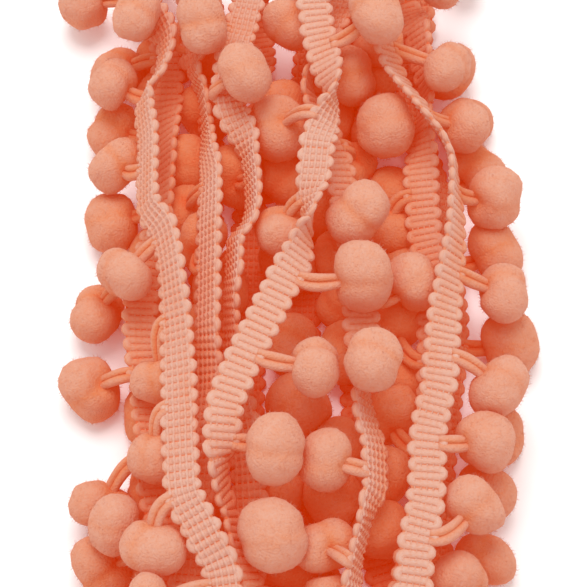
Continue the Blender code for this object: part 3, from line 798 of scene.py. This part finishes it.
@dataclass(frozen=True)
class GroundCloth:
    """The thin cloth in the middle of the tape, which closes the gaps between its yarns."""

    width: float = 5.4
    thickness: float = 0.5
    step: float = 1.4

    def surface(self, stretch: Stretch) -> Surface:
        """A flat strip: at each step a ring of six corners, (across, above) on the tape.

        Args:
            stretch: The run's stretch of tape.

        Returns:
            The closed strip.
        """
        count = int((stretch.end - stretch.start) / self.step)
        at = np.linspace(stretch.start, stretch.end, count)[:, None]
        half, rise = self.width / 2, self.thickness / 2
        across = np.array([half, 0.0, -half, -half, 0.0, half])
        above = np.array([rise, rise, rise, -rise, -rise, -rise])
        at, across, above = np.broadcast_arrays(at, across, above)
        strand = np.stack([at, across, above], axis=-1)
        # The whole ground cloth takes full painted shade, as it lies between the yarns.
        return tube(stretch.way.lay(at, across, above), strand, np.ones(at.shape))


@dataclass(frozen=True)
class WovenYarns:
    """The yarns of the tape: one bulky filling yarn to and fro, bound by thin yarns.

    The binders bulge in small beads on the stitched face and lie tight on the ribbed one.
    """

    rib_pitch: float = 1.375
    yarn_half_width: float = 0.74
    yarn_half_height: float = 0.56
    yarn_roundness: float = 0.75
    turn_half_width: float = 0.79
    columns: tuple[float, ...] = (-2.1, -1.05, 0.0, 1.05, 2.1)
    pinch_width: float = 0.3
    pinch_sink: float = 0.2
    yarn_sides: int = 8
    turn_steps: int = 4
    edge_wander: float = 0.1
    edge_wander_limits: tuple[float, float] = (-0.2, 0.12)
    rib_wander: float = 0.05
    rib_wander_most: float = 0.1
    # Painted shade on the sides of each rib and where a binder presses in.
    side_shade: float = 0.34
    pinch_shade: float = 0.16
    binder_overlap: float = 0.4
    binder_sway: float = 0.05
    binder_sway_turn: float = 0.9
    binder_sway_starts: float = 6.0
    binders: tuple[Binder, ...] = (PLUMP_BINDER, TIGHT_BINDER)

    def ribs(self, stretch: Stretch) -> tuple[Array, int]:
        """Places of the ribs, so that each loop is drawn from a turn at the pompom edge.

        Between two neighbouring marks (the start, the loops, the end) the ribs are even, and
        from loop to loop their number is even, so that the turns keep their side.

        Args:
            stretch: The run's stretch of tape.

        Returns:
            The places, and how many ribs come before the first loop.
        """
        marks = np.concatenate([[stretch.start], stretch.loops, [stretch.end]])
        gaps = np.diff(marks)
        counts = np.maximum(np.round(gaps / self.rib_pitch), 1).astype(int)
        counts[1:-1] = 2 * np.round(gaps[1:-1] / self.rib_pitch / 2)
        places = [mark + gap * (np.arange(count) + 0.5) / count
                  for mark, gap, count in zip(marks[:-1], gaps, counts)]
        return np.concatenate(places), int(counts[0])

    def crossing(self) -> Array:
        """Places across the tape where a crossing yarn is cut: at and between the binders."""
        return np.linspace(self.columns[0], self.columns[-1], 2 * len(self.columns) - 1)

    def pinch(self, across: Array) -> Array:
        """How far the binders press in at places across the tape: a bell about each column."""
        away = (across[..., None] - np.array(self.columns)) / self.pinch_width
        return np.exp(-away ** 2).sum(axis=-1)

    def filling(self, stretch: Stretch, rng: Draws) -> Surface:
        """The filling yarn: a flat tube to and fro, with a half-round turn at each edge.

        On the tape's plane rib k crosses at its own place, from one side to the other. Its turn
        is the half circle about the middle between ribs k and k + 1, with half their distance
        as radius. The tube is an ellipse with full shoulders, pressed in where a binder crosses
        it: both of its coordinates are raised to a power under one.

        Args:
            stretch: The run's stretch of tape.
            rng: Random numbers of this run.

        Returns:
            The closed yarn.
        """
        ribs, before = self.ribs(stretch)
        count = len(ribs)
        most = self.rib_wander_most
        ribs = ribs + rng.normal(0.0, self.rib_wander, count).clip(-most, most)
        side = np.where((before - 1 - np.arange(count)) % 2 == 0, 1.0, -1.0)[:, None]
        crossing = self.crossing()
        angle = np.linspace(0.0, math.pi, self.turn_steps + 2)[1:-1]
        following = np.append(ribs[1:], ribs[-1] + self.rib_pitch)
        middle, radius = (ribs + following)[:, None] / 2, (following - ribs)[:, None] / 2
        reach = SIZES.width / 2 - self.turn_half_width - radius
        wander = rng.normal(0.0, self.edge_wander, (count, 1))
        reach = reach + wander.clip(*self.edge_wander_limits)
        at = np.concatenate([np.repeat(ribs[:, None], len(crossing), axis=1),
                             middle - radius * np.cos(angle)], axis=1)
        across = np.concatenate([side * crossing + np.zeros((count, 1)),
                                 side * (reach + radius * np.sin(angle))], axis=1)
        at, across = at.ravel()[:-self.turn_steps], across.ravel()[:-self.turn_steps]
        ahead = unit(np.stack([np.gradient(at), np.gradient(across)], axis=1))
        length = np.concatenate([[0.0], np.cumsum(np.hypot(np.diff(at), np.diff(across)))])
        pinch = self.pinch(across)
        turning = np.abs(ahead[:, 0]) * (self.turn_half_width - self.yarn_half_width)
        width = (self.yarn_half_width + turning)[:, None]
        height = (self.yarn_half_height * (1.0 - self.pinch_sink * pinch))[:, None]
        cosine, sine = (np.sign(part) * np.abs(part) ** self.yarn_roundness
                        for part in circle(self.yarn_sides))
        grid = stretch.way.lay(at[:, None] - ahead[:, 1:] * width * cosine,
                               across[:, None] + ahead[:, :1] * width * cosine, height * sine)
        strand = np.stack([np.repeat(length[:, None], self.yarn_sides, axis=1),
                           width * cosine, height * sine], axis=-1)
        # Painted shade: darker on the sides of the yarn, where neighbouring ribs meet, and where a
        # binder presses it in.
        groove_shade = cosine ** 2 * self.side_shade + self.pinch_shade * pinch[:, None]
        return tube(grid, strand, np.clip(groove_shade, 0.0, 1.0))

    def binding(self, stretch: Stretch, column: float, binder: Binder, rng: Draws) -> Surface:
        """One binding yarn: a thin tube along the tape, up over each rib and down between.

        At rib count q its height is base + wave * cos(2 pi q), so it is highest on the ribs,
        and its thickness grows there by the bulge in the same way.

        Args:
            stretch: The run's stretch of tape.
            column: Its place across the tape.
            binder: Its kind.
            rng: Random numbers of this run.

        Returns:
            The closed yarn.
        """
        ribs, _ = self.ribs(stretch)
        count = len(ribs)
        number = np.linspace(-self.binder_overlap, count - 1 + self.binder_overlap,
                             count * binder.steps)
        known = np.concatenate([[-1.0], np.arange(count), [count]])
        places = np.concatenate([[ribs[0] - self.rib_pitch], ribs, [ribs[-1] + self.rib_pitch]])
        at = np.clip(np.interp(number, known, places), stretch.start, stretch.end)
        begun = rng.uniform(0.0, self.binder_sway_starts)
        middle = column + self.binder_sway * np.sin(number * self.binder_sway_turn + begun)
        rise = np.cos(2.0 * math.pi * number)[:, None]
        radius = binder.radius * (1.0 + binder.bulge * rise) * binder.face.value
        cosine, sine = circle(binder.sides)
        across, above = sine * radius, -cosine * radius
        height = binder.face.value * (binder.height + binder.wave * rise)
        at = np.broadcast_to(at[:, None], across.shape)
        grid = stretch.way.lay(at, middle[:, None] + across, height + above)
        strand = np.stack([at, across, above], axis=-1)
        return tube(grid, strand, np.full(at.shape, binder.groove_shade))

    def surface(self, stretch: Stretch, rng: Draws) -> Surface:
        """All yarns of a run: the filling yarn, and the binders of both faces.

        Args:
            stretch: The run's stretch of tape.
            rng: Random numbers of this run.

        Returns:
            The yarns as one surface.
        """
        parts = [self.filling(stretch, rng)]
        parts.extend(self.binding(stretch, column, binder, rng)
                     for column in self.columns for binder in self.binders)
        return Surface.joined(parts)


@dataclass(frozen=True)
class DrawnLoop:
    """The two strands that are drawn out of the tape's edge and hold a pompom."""

    strand_radius: float = 0.8
    spread_at_tape: float = 0.7
    spread_at_pompom: float = 0.6
    bow: float = 0.2
    bow_limits: tuple[float, float] = (-0.2, 1.0)
    lift: float = 0.25
    waist: float = 0.08
    # Painted shade on the inner side of each strand.
    inner_shade: float = 0.8
    inside_tape: float = 1.7
    inside_pompom: float = 0.55
    rings: int = 12
    sides: int = 7

    def surfaces(self, frame: tuple[Array, ...], centre: Array, radius: Array,
                 rng: Draws) -> list[Surface]:
        """Both strands of every loop of a run.

        The middle line is the quadratic curve from inside the tape, past the point where the
        loop bends, to inside the pompom. Each strand runs beside it, at a distance that goes
        evenly from the tape to the pompom, plus a bow that is a sine over its length.

        Args:
            frame: The tape's middle points, directions, edges and normals at the loops.
            centre: Centres of the pompoms.
            radius: Their radii.
            rng: Random numbers of this run.

        Returns:
            One closed surface for each strand.
        """
        point, along, edge, face = frame
        root = point + edge * SIZES.width / 2
        bend = root + edge * SIZES.loop_straight
        heading = unit(centre - bend)
        first = root - edge * self.inside_tape
        last = centre - heading * (radius * self.inside_pompom)[:, None]
        part = np.linspace(0.0, 1.0, self.rings)[None, :, None]
        line = (first[:, None] * (1 - part) ** 2 + bend[:, None] * 2 * part * (1 - part)
                + last[:, None] * part ** 2)
        ahead = unit((bend - first)[:, None] * (1 - part) + (last - bend)[:, None] * part)
        side = turned(-along[:, None], edge[:, None], ahead)
        rise = turned(face[:, None], edge[:, None], ahead)
        part = part[..., 0]
        arch = np.sin(math.pi * part)
        cosine, sine = circle(self.sides)
        thick = (self.strand_radius * (1.0 - self.waist * np.cos(2.0 * math.pi * part)))[..., None]
        steps = np.linalg.norm(np.diff(line, axis=1, prepend=line[:, :1]), axis=2)
        length, beside_middle, over_middle = np.broadcast_arrays(
            np.cumsum(steps, axis=1)[..., None], thick * cosine, thick * sine)
        strand = np.stack([length, beside_middle, over_middle], axis=-1)
        found: list[Surface] = []
        for way_out in (1.0, -1.0):
            bow = rng.uniform(*self.bow_limits, (len(point), 1)) * self.bow
            lift = rng.uniform(-self.lift, self.lift, (len(point), 1)) * arch
            beside = self.spread_at_tape * (1 - part) + self.spread_at_pompom * part + bow * arch
            middle = line + side * (way_out * beside)[..., None] + rise * lift[..., None]
            grid = (middle[:, :, None] + side[:, :, None] * beside_middle[..., None]
                    + rise[:, :, None] * over_middle[..., None])
            # Painted shade on the side of each strand that faces the other one.
            groove_shade = np.clip(-way_out * cosine, 0.0, 1.0) * self.inner_shade
            groove_shade = np.broadcast_to(groove_shade, grid.shape[1:3])
            found.extend(tube(*each, groove_shade) for each in zip(grid, strand))
        return found


@dataclass(frozen=True)
class Balls:
    """The pompoms of one run, with what makes each of them a little different.

    frames holds each pompom's own axes: towards its far side, across, and from lobe to lobe.
    toward and plane say where it presses on its neighbours, lobe how far the middles of its
    two lobes stand from its centre, flat how much shorter it is along its loop, and wave and
    phase shape its small waves.
    """

    centre: Array
    radius: Array
    frames: Array
    toward: Array
    plane: Array
    lobe: Array
    flat: Array
    wave: Array
    phase: Array


@dataclass(frozen=True)
class Pompom:
    """A brushed ball of yarn: two soft lobes with a crease where the loop binds its waist."""

    swell: float = 1.09
    buried_swell: float = 0.17
    segments: int = 30
    ring_angles: tuple[float, ...] = (0.07, 0.16, 0.28, 0.46, 0.7, 0.97, 1.25)
    lobe_least: float = 0.12
    lobe_most: float = 0.32
    lobe_rounding: float = 0.14
    lobe_shrink: float = 0.62
    tilt: float = 0.8
    flat_most: float = 0.18
    dimple: float = 0.12
    dimple_width: float = 0.5
    crease_spread: float = 1.6
    # Painted shade in the crease and in the dimple where the loop goes in.
    crease_shade: float = 0.45
    dimple_shade: float = 0.6
    waves: int = 12
    wave_turns: float = 3.0
    wave_size: float = 0.014
    softness: float = 0.03
    neighbours: int = 8
    facing_least: float = 0.05
    far: float = 99.0
    hairs: int = 500
    hair_length: float = 0.55
    hair_length_shares: tuple[float, float] = (0.5, 1.3)
    hair_radius: float = 0.036
    hair_lean: float = 0.6

    def balls(self, frame: tuple[Array, ...], centre: Array, radius: Array,
              crowd: tuple[Array, Array], gloom: Gloom,
              rng: Draws) -> Balls:
        """Place the pompoms of a run and draw what differs between them.

        A pompom that is buried in the hank spreads into the gaps around it.

        Args:
            frame: The tape's middle points, directions, edges and normals at the loops.
            centre: Centres of the pompoms.
            radius: Their radii.
            crowd: Centres and radii of all pompoms of the trim.
            gloom: What the trim blocks of the light at each place.
            rng: Random numbers of this run.

        Returns:
            The pompoms.
        """
        point, along, edge, _ = frame
        bend = point + edge * (SIZES.width / 2 + SIZES.loop_straight)
        heading = unit(centre - bend)
        count = len(centre)
        tilt = rng.uniform(-self.tilt, self.tilt, (count, 1))
        flat = turned(along, edge, heading)
        axis = flat * np.cos(tilt) + np.cross(heading, flat) * np.sin(tilt)
        frames = np.stack([heading, np.cross(axis, heading), axis], axis=1)
        others, other_radius = crowd
        away = others[None] - centre[:, None]
        apart = np.linalg.norm(away, axis=2)
        near = np.argsort(apart, axis=1)[:, 1:1 + self.neighbours]
        rows = np.arange(count)[:, None]
        apart = apart[rows, near]
        top = centre + np.array([0.0, 0.0, 1.0]) * radius[:, None]
        return Balls(
            centre, radius * (1.0 + self.buried_swell * gloom.at(top)), frames,
            away[rows, near] / apart[..., None],
            (apart + radius[:, None] - other_radius[near]) / 2,
            rng.uniform(self.lobe_least, self.lobe_most, (count, 1)),
            rng.uniform(0.0, self.flat_most, (count, 1)),
            rng.normal(0.0, self.wave_turns, (self.waves, 3)),
            rng.uniform(0.0, 2.0 * math.pi, (count, 1, self.waves)))

    def skin(self, balls: Balls, local: Array) -> tuple[Array, ...]:
        """Where the skin of each pompom lies in directions given on its own axes.

        Each lobe is a ball whose middle stands off the centre by the lobe share a. In a
        direction whose part along the lobes' axis is c, the skin of both together lies at
        a c + sqrt(b^2 - a^2 (1 - c^2)), where c is taken without its sign and rounded at zero,
        and b keeps the mean distance at one. It is shorter along the loop, dimpled where the
        loop goes in, and moved by a sum of small waves. It is held back softly at the plane
        midway to each neighbour.

        Args:
            balls: The pompoms.
            local: Directions, (pompoms or 1, directions, 3).

        Returns:
            Distances, outward directions, and painted shade in the crease and where the loop goes
            in.
        """
        local = np.broadcast_to(local, (len(balls.centre),) + local.shape[1:])
        outward = np.einsum("pda,pak->pdk", local, balls.frames)
        beside = np.sqrt(local[..., 2] ** 2 + self.lobe_rounding ** 2)
        size = 1.0 - self.lobe_shrink * balls.lobe
        share = balls.lobe * beside + np.sqrt(size ** 2 - balls.lobe ** 2 * (1.0 - beside ** 2))
        entry = np.exp(-(np.arccos((-local[..., 0]).clip(-1, 1)) / self.dimple_width) ** 2)
        waves = np.cos(outward @ balls.wave.T + balls.phase).sum(axis=2)
        share = share + self.wave_size * waves - self.dimple * entry
        share = share * (1.0 - balls.flat * local[..., 0] ** 2)
        reach = (balls.radius * self.swell)[:, None] * share
        facing = np.einsum("pdk,pnk->pdn", outward, balls.toward)
        limit = balls.plane[:, None] / np.maximum(facing, self.facing_least)
        limit = np.where(facing > self.facing_least, limit, self.far)
        soft = balls.radius[:, None, None] * self.softness
        excess = np.abs(reach[..., None] - limit) / soft
        reach = np.minimum(reach[..., None], limit - soft * np.exp(-excess)).min(axis=2)
        # Painted shade in the crease between the lobes and in the dimple where the loop goes in.
        crease = np.exp(-(local[..., 2] / self.lobe_rounding / self.crease_spread) ** 2)
        groove_shade = self.crease_shade * crease * balls.lobe / self.lobe_most
        return reach, outward, np.clip(groove_shade + self.dimple_shade * entry, 0.0, 1.0)

    def directions(self) -> Array:
        """Grid of directions on a pompom's own axes, with both poles as its last two rows.

        Rings stand at angles from the crease plane, close together beside the crease.

        Returns:
            The directions, ring after ring.
        """
        upper = np.array(self.ring_angles[::-1])
        latitude = np.concatenate([upper, [0.0], -upper[::-1]])[:, None]
        cosine, sine = circle(self.segments)
        grid = np.stack([np.cos(latitude) * cosine, np.cos(latitude) * sine,
                         np.sin(latitude) + 0.0 * sine], axis=-1)
        return np.concatenate([grid.reshape(-1, 3), [[0.0, 0.0, 1.0], [0.0, 0.0, -1.0]]])

    def bodies(self, balls: Balls) -> list[Surface]:
        """One closed ball for each pompom, on the grid of directions.

        The rings go down from the upper pole and turn about the way back, so the corners of
        each face are taken the other way round.

        Args:
            balls: The pompoms.

        Returns:
            Their surfaces.
        """
        reach, outward, groove_shade = self.skin(balls, self.directions()[None])
        strand = outward * reach[..., None]
        points = balls.centre[:, None] + strand
        quads, triangles = ring_faces(2 * len(self.ring_angles) + 1, self.segments)
        quads, triangles = quads[:, [0, 3, 2, 1]], triangles[:, [0, 2, 1]]
        return [Surface(each[0], quads, triangles, *each[1:])
                for each in zip(points, strand, groove_shade)]

    def nap(self, balls: Balls, rng: Draws) -> Surface:
        """The short brushed hairs: slim three-sided spikes that lean a little from the skin.

        A hair's three foot corners lie on a small circle just under the skin, and its tip
        stands off by its length, moved sideways by the lean. It takes light as the skin does.

        Args:
            balls: The pompoms.
            rng: Random numbers of this run.

        Returns:
            All hairs of the run as one surface of closed spikes.
        """
        count = len(balls.centre)
        local = unit(rng.normal(0.0, 1.0, (count, self.hairs, 3)))
        reach, outward, groove_shade = self.skin(balls, local)
        sideways = unit(np.cross(outward, rng.normal(0.0, 1.0, local.shape)))
        crossways = np.cross(outward, sideways)
        length = self.hair_length * rng.uniform(*self.hair_length_shares, reach.shape)[..., None]
        foot = balls.centre[:, None] + outward * (reach - self.hair_radius)[..., None]
        tip = foot + (outward + sideways * self.hair_lean) * length
        cosine, sine = circle(3)
        feet = [foot + self.hair_radius * (sideways * c + crossways * s)
                for c, s in zip(cosine, sine)]
        points = np.stack([*feet, tip], axis=2).reshape(-1, 3)
        start = np.arange(count * self.hairs)[:, None, None] * 4
        spike = np.array([(0, 1, 3), (1, 2, 3), (2, 0, 3), (2, 1, 0)])
        strand = np.repeat((outward * reach[..., None]).reshape(-1, 3), 4, axis=0)
        return Surface(points, np.zeros((0, 4), int), (start + spike).reshape(-1, 3), strand,
                       np.repeat(groove_shade.ravel(), 4), np.repeat(outward.reshape(-1, 3), 4, axis=0))


class Shading:
    """The nodes of one material, from which the finishes are built."""

    def __init__(self, name: str) -> None:
        """Make the material with its plain surface shader.

        Args:
            name: Name of the material.
        """
        self.made = bpy.data.materials.new(name)
        self.made.use_nodes = True
        self.tree = self.made.node_tree
        self.surface = self.tree.nodes["Principled BSDF"]

    def feed(self, node: bpy.types.Node, inputs: Mapping[str | int, Feed]) -> None:
        """Set the inputs of a node that take a constant, and link those that take an output.

        Args:
            node: The node.
            inputs: What feeds each input.
        """
        for name, value in inputs.items():
            if isinstance(value, Socket):
                self.tree.links.new(value, node.inputs[name])
            else:
                node.inputs[name].default_value = value

    def node(self, kind: str, output: str, inputs: Mapping[str, Feed]) -> Socket:
        """Add a node and feed its inputs.

        Args:
            kind: Its kind.
            output: The output that is wanted.
            inputs: What feeds each of its inputs.

        Returns:
            The wanted output.
        """
        made = self.tree.nodes.new("ShaderNode" + kind)
        self.feed(made, inputs)
        return made.outputs[output]

    def known(self, name: str, output: str) -> Socket:
        """Read an attribute of the mesh.

        Args:
            name: Name of the attribute.
            output: The output that is wanted.

        Returns:
            The wanted output.
        """
        place = self.node("Attribute", output, {})
        place.node.attribute_name = name
        return place

    def noise(self, place: Feed, scale: float, detail: float) -> Socket:
        """Soft noise at places, with its steps in a unit and how many finer ones lie in it."""
        return self.node("TexNoise", "Fac", {"Vector": place, "Scale": scale, "Detail": detail})

    def weigh(self, value: Feed, share: float, more: Feed = 0.0) -> Socket:
        """Work out value * share + more.

        Args:
            value: What is weighed.
            share: Its weight.
            more: What is added.

        Returns:
            Output of the sum.
        """
        total = self.tree.nodes.new("ShaderNodeMath")
        total.operation = "MULTIPLY_ADD"
        self.feed(total, {0: value, 1: share, 2: more})
        return total.outputs["Value"]

    def bump(self, height: Feed, strength: float, millimetres: float) -> None:
        """Raise the surface by a noise, whose full step stands so many millimetres high."""
        inputs = {"Height": height, "Strength": strength, "Distance": millimetres * METRES}
        self.feed(self.surface, {"Normal": self.node("Bump", "Normal", inputs)})


@dataclass(frozen=True)
class DyeWithPaintedShade:
    """Yarn colour, with painted shade in grooves and where the trim blocks light, and a painted
    glow.
    """

    pale: Shade
    # Colour for random darker tone and for painted shade.
    deep_and_shaded: Shade
    # Colour of the fullest painted shade, in the deepest grooves and under the pile.
    deepest_shade: Shade = (0.42, 0.07, 0.014, 1.0)
    pale_to: float = 0.15
    deep_and_shaded_from: float = 0.55
    noise_share: float = 0.35
    groove_shade_share: float = 0.4
    painted_shade_share: float = 0.6
    # Painted red glow on every yarn, standing in for the yarn's fluorescence and for light bounced
    # in the shade.
    painted_glow: Shade = (1.0, 0.06, 0.0, 1.0)
    painted_glow_strength: float = 0.31
    roughness: float = 0.9
    specular: float = 0.2
    sheen: float = 0.15
    sheen_roughness: float = 0.5

    def lay(self, shading: Shading, noise: Socket) -> None:
        """Set the surface shader's constants and link its colour.

        The ramp of the three colours is read at the noise, the painted shade in grooves and the
        painted shade where the trim blocks light, each times its share.

        Args:
            shading: The material's nodes.
            noise: Output of the fibre noise.
        """
        shade = shading.weigh(noise, self.noise_share)
        # Painted shade: the groove and depth attributes darken the colour.
        for name, share in (("groove_shade", self.groove_shade_share), ("depth", self.painted_shade_share)):
            shade = shading.weigh(shading.known(name, "Fac"), share, shade)
        colour = shading.node("ValToRGB", "Color", {"Fac": shade})
        ramp = colour.node.color_ramp.elements
        ramp[0].position, ramp[0].color = self.pale_to, self.pale
        ramp[1].color = self.deepest_shade
        ramp.new(self.deep_and_shaded_from).color = self.deep_and_shaded
        shading.feed(shading.surface, {
            "Base Color": colour, "Roughness": self.roughness,
            "Specular IOR Level": self.specular, "Sheen Weight": self.sheen,
            "Sheen Roughness": self.sheen_roughness, "Sheen Tint": self.pale,
            "Emission Color": self.painted_glow, "Emission Strength": self.painted_glow_strength})


@dataclass(frozen=True)
class YarnFinish:
    """Soft bulky yarn: fine fibres along the strand, and painted shade in its grooves."""

    name: str
    dye_and_shade: DyeWithPaintedShade = DyeWithPaintedShade(pale=(0.385, 0.362, 0.3, 1.0), deep_and_shaded=(0.4, 0.23, 0.135, 1.0),
                   noise_share=0.45)
    fibre_pull: tuple[float, float, float] = (1.7, 4.0, 4.0)
    fibre_detail: float = 2.0
    fibre_bump: float = 0.6
    fibre_height: float = 0.22

    def material(self) -> bpy.types.Material:
        """Make the material: colours with painted shade and glow, and a bump, by the same fibres.

        Returns:
            The material.
        """
        shading = Shading(self.name)
        place = shading.known("strand", "Vector")
        pulled = shading.node("Mapping", "Vector", {"Vector": place, "Scale": self.fibre_pull})
        fibre = shading.noise(pulled, 1.0, self.fibre_detail)
        self.dye_and_shade.lay(shading, fibre)
        shading.bump(fibre, self.fibre_bump, self.fibre_height)
        return shading.made


@dataclass(frozen=True)
class PileFinish:
    """Brushed pile of the pompoms: a fine nap over soft tufts, with painted shade in the creases.
    """

    name: str
    dye_and_shade: DyeWithPaintedShade = DyeWithPaintedShade(pale=(0.385, 0.295, 0.22, 1.0), deep_and_shaded=(0.4, 0.19, 0.09, 1.0), noise_share=0.5,
                   sheen=0.2, roughness=0.95)
    tuft_scale: float = 700.0
    tuft_detail: float = 2.0
    nap_scale: float = 2800.0
    nap_detail: float = 1.0
    nap_share: float = 0.5
    nap_bump: float = 0.8
    nap_height: float = 0.42

    def material(self) -> bpy.types.Material:
        """Make the material: tufts and nap from noise on the object's own places.

        Returns:
            The material.
        """
        shading = Shading(self.name)
        place = shading.node("TexCoord", "Object", {})
        tufts = shading.noise(place, self.tuft_scale, self.tuft_detail)
        nap = shading.noise(place, self.nap_scale, self.nap_detail)
        both = shading.weigh(nap, self.nap_share, shading.weigh(tufts, 1.0 - self.nap_share))
        self.dye_and_shade.lay(shading, both)
        shading.bump(both, self.nap_bump, self.nap_height)
        return shading.made


@dataclass(frozen=True)
class Studio:
    """Camera, floor and soft light."""

    target: tuple[float, float, float] = (0.0, 0.0, 0.02)
    elevation: float = 65.0
    distance: float = 0.33
    lens: float = 115.4
    nearest: float = 0.01
    white: Shade = (1.0, 1.0, 1.0, 1.0)
    floor_size: float = 6.0
    floor_white: float = 0.95
    floor_roughness: float = 0.9
    floor_glow: float = 0.03
    sky: float = 0.87
    soft_bounces: int = 10
    key_power: float = 5.2
    key_size: float = 0.6
    key_place: tuple[float, float, float] = (-0.06, 0.3, 0.84)

    def aim(self, made: bpy.types.Object, place: Vector) -> None:
        """Stand the camera or a lamp at a place and turn it to the target.

        Args:
            made: The camera's or lamp's object.
            place: Where it stands, in metres.
        """
        made.location = place
        made.rotation_mode = "QUATERNION"
        made.rotation_quaternion = (Vector(self.target) - place).to_track_quat("-Z", "Y")

    def camera(self) -> None:
        """Stand the camera over the near side, looking down along the hank."""
        tilt = math.radians(self.elevation)
        away = Vector((0.0, -math.cos(tilt), math.sin(tilt)))
        camera = stood("camera", bpy.data.cameras.new("camera"))
        camera.data.lens = self.lens
        camera.data.clip_start = self.nearest
        self.aim(camera, Vector(self.target) + away * self.distance)
        bpy.context.scene.camera = camera

    def floor(self) -> None:
        """Lay a plain pale floor at the height on which the trim rests."""
        half = self.floor_size / 2
        mesh = bpy.data.meshes.new("floor")
        mesh.from_pydata([(-half, -half, 0.0), (half, -half, 0.0), (half, half, 0.0),
                          (-half, half, 0.0)], [], [(0, 1, 2, 3)])
        shading = Shading("floor_white")
        shading.feed(shading.surface, {
            "Base Color": (*(self.floor_white,) * 3, 1.0), "Roughness": self.floor_roughness,
            "Emission Color": self.white, "Emission Strength": self.floor_glow})
        mesh.materials.append(shading.made)
        floor = stood("floor", mesh)

    def light(self) -> None:
        """Light it with an even pale sky and one broad soft lamp from behind and above."""
        scene = bpy.context.scene
        scene.view_settings.view_transform = "Standard"
        scene.cycles.diffuse_bounces = self.soft_bounces
        scene.world = bpy.data.worlds.new("studio")
        scene.world.use_nodes = True
        sky = scene.world.node_tree.nodes["Background"]
        sky.inputs["Color"].default_value = self.white
        sky.inputs["Strength"].default_value = self.sky
        lamp = bpy.data.lights.new("key", "AREA")
        lamp.shape = "DISK"
        lamp.size = self.key_size
        lamp.energy = self.key_power
        self.aim(stood("key", lamp), Vector(self.key_place))

    def build(self) -> None:
        """Set up the camera, the floor and the light."""
        self.camera()
        self.floor()
        self.light()


@dataclass
class Hank:
    """The whole trim: the tape's way, its pompoms, and how each run is dressed."""

    way: TapeWay
    loops: list[Loop]
    centres: Array
    radii: Array
    gloom: Gloom
    ground: GroundCloth = GroundCloth()
    yarns: WovenYarns = WovenYarns()
    drawn: DrawnLoop = DrawnLoop()
    pompom: Pompom = Pompom()
    first_seed: int = 100

    @staticmethod
    def laid(runs: Sequence[Run]) -> Hank:
        """Lay the tape and settle its pompoms.

        Args:
            runs: The runs in order.

        Returns:
            The trim, ready to be dressed.
        """
        way = TapeWay(runs)
        loops = way.loops(runs)
        centres, radii = Settling().settle(way, loops)
        return Hank(way, loops, centres, radii, Gloom.found(way, centres, radii))

    def dress(self, number: int, run: Run, cloth: bpy.types.Material, yarn: bpy.types.Material,
              pile: bpy.types.Material) -> None:
        """Make the three pieces of one run and tie them to the frame.

        Args:
            number: The run's number.
            run: The run.
            cloth: Finish of the ground cloth.
            yarn: Finish of the tape's yarns.
            pile: Finish of the loops and pompoms.
        """
        rng = np.random.default_rng(self.first_seed + number)
        mine = np.array([k for k, loop in enumerate(self.loops) if loop.run == number])
        at = np.array([self.loops[k].at for k in mine])
        stretch = Stretch(self.way, *self.way.cuts[number:number + 2], at)
        ground = self.ground.surface(stretch).piece("ground_" + run.name, cloth, self.gloom)
        weave = self.yarns.surface(stretch, rng).piece("weave_" + run.name, yarn, self.gloom)
        frame = self.way.read(at)
        centre, radius = self.centres[mine], self.radii[mine]
        parts = self.drawn.surfaces(frame, centre, radius, rng)
        balls = self.pompom.balls(frame, centre, radius, (self.centres, self.radii), self.gloom,
                                  rng)
        parts += self.pompom.bodies(balls) + [self.pompom.nap(balls, rng)]
        fringe = Surface.joined(parts).piece("pompoms_" + run.name, pile, self.gloom)
        heading, backing = "heading_" + run.name, "fringe_" + run.name
        for piece, slot in ((ground, heading), (weave, heading), (fringe, backing)):
            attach(piece, "root")
            LOG.info("%s: %d faces", piece.name, len(piece.data.polygons))
        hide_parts(heading)
        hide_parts(backing)


def main() -> None:
    """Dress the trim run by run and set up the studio."""
    logging.basicConfig(level=logging.INFO, format="%(message)s")
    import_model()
    Studio().build()
    hank = Hank.laid(RUNS)
    cloth = YarnFinish("tape_ground").material()
    yarn = YarnFinish("tape_yarn").material()
    pile = PileFinish("pompom_pile").material()
    for number, run in enumerate(RUNS):
        hank.dress(number, run, cloth, yarn, pile)


if __name__ == "__main__":
    main()
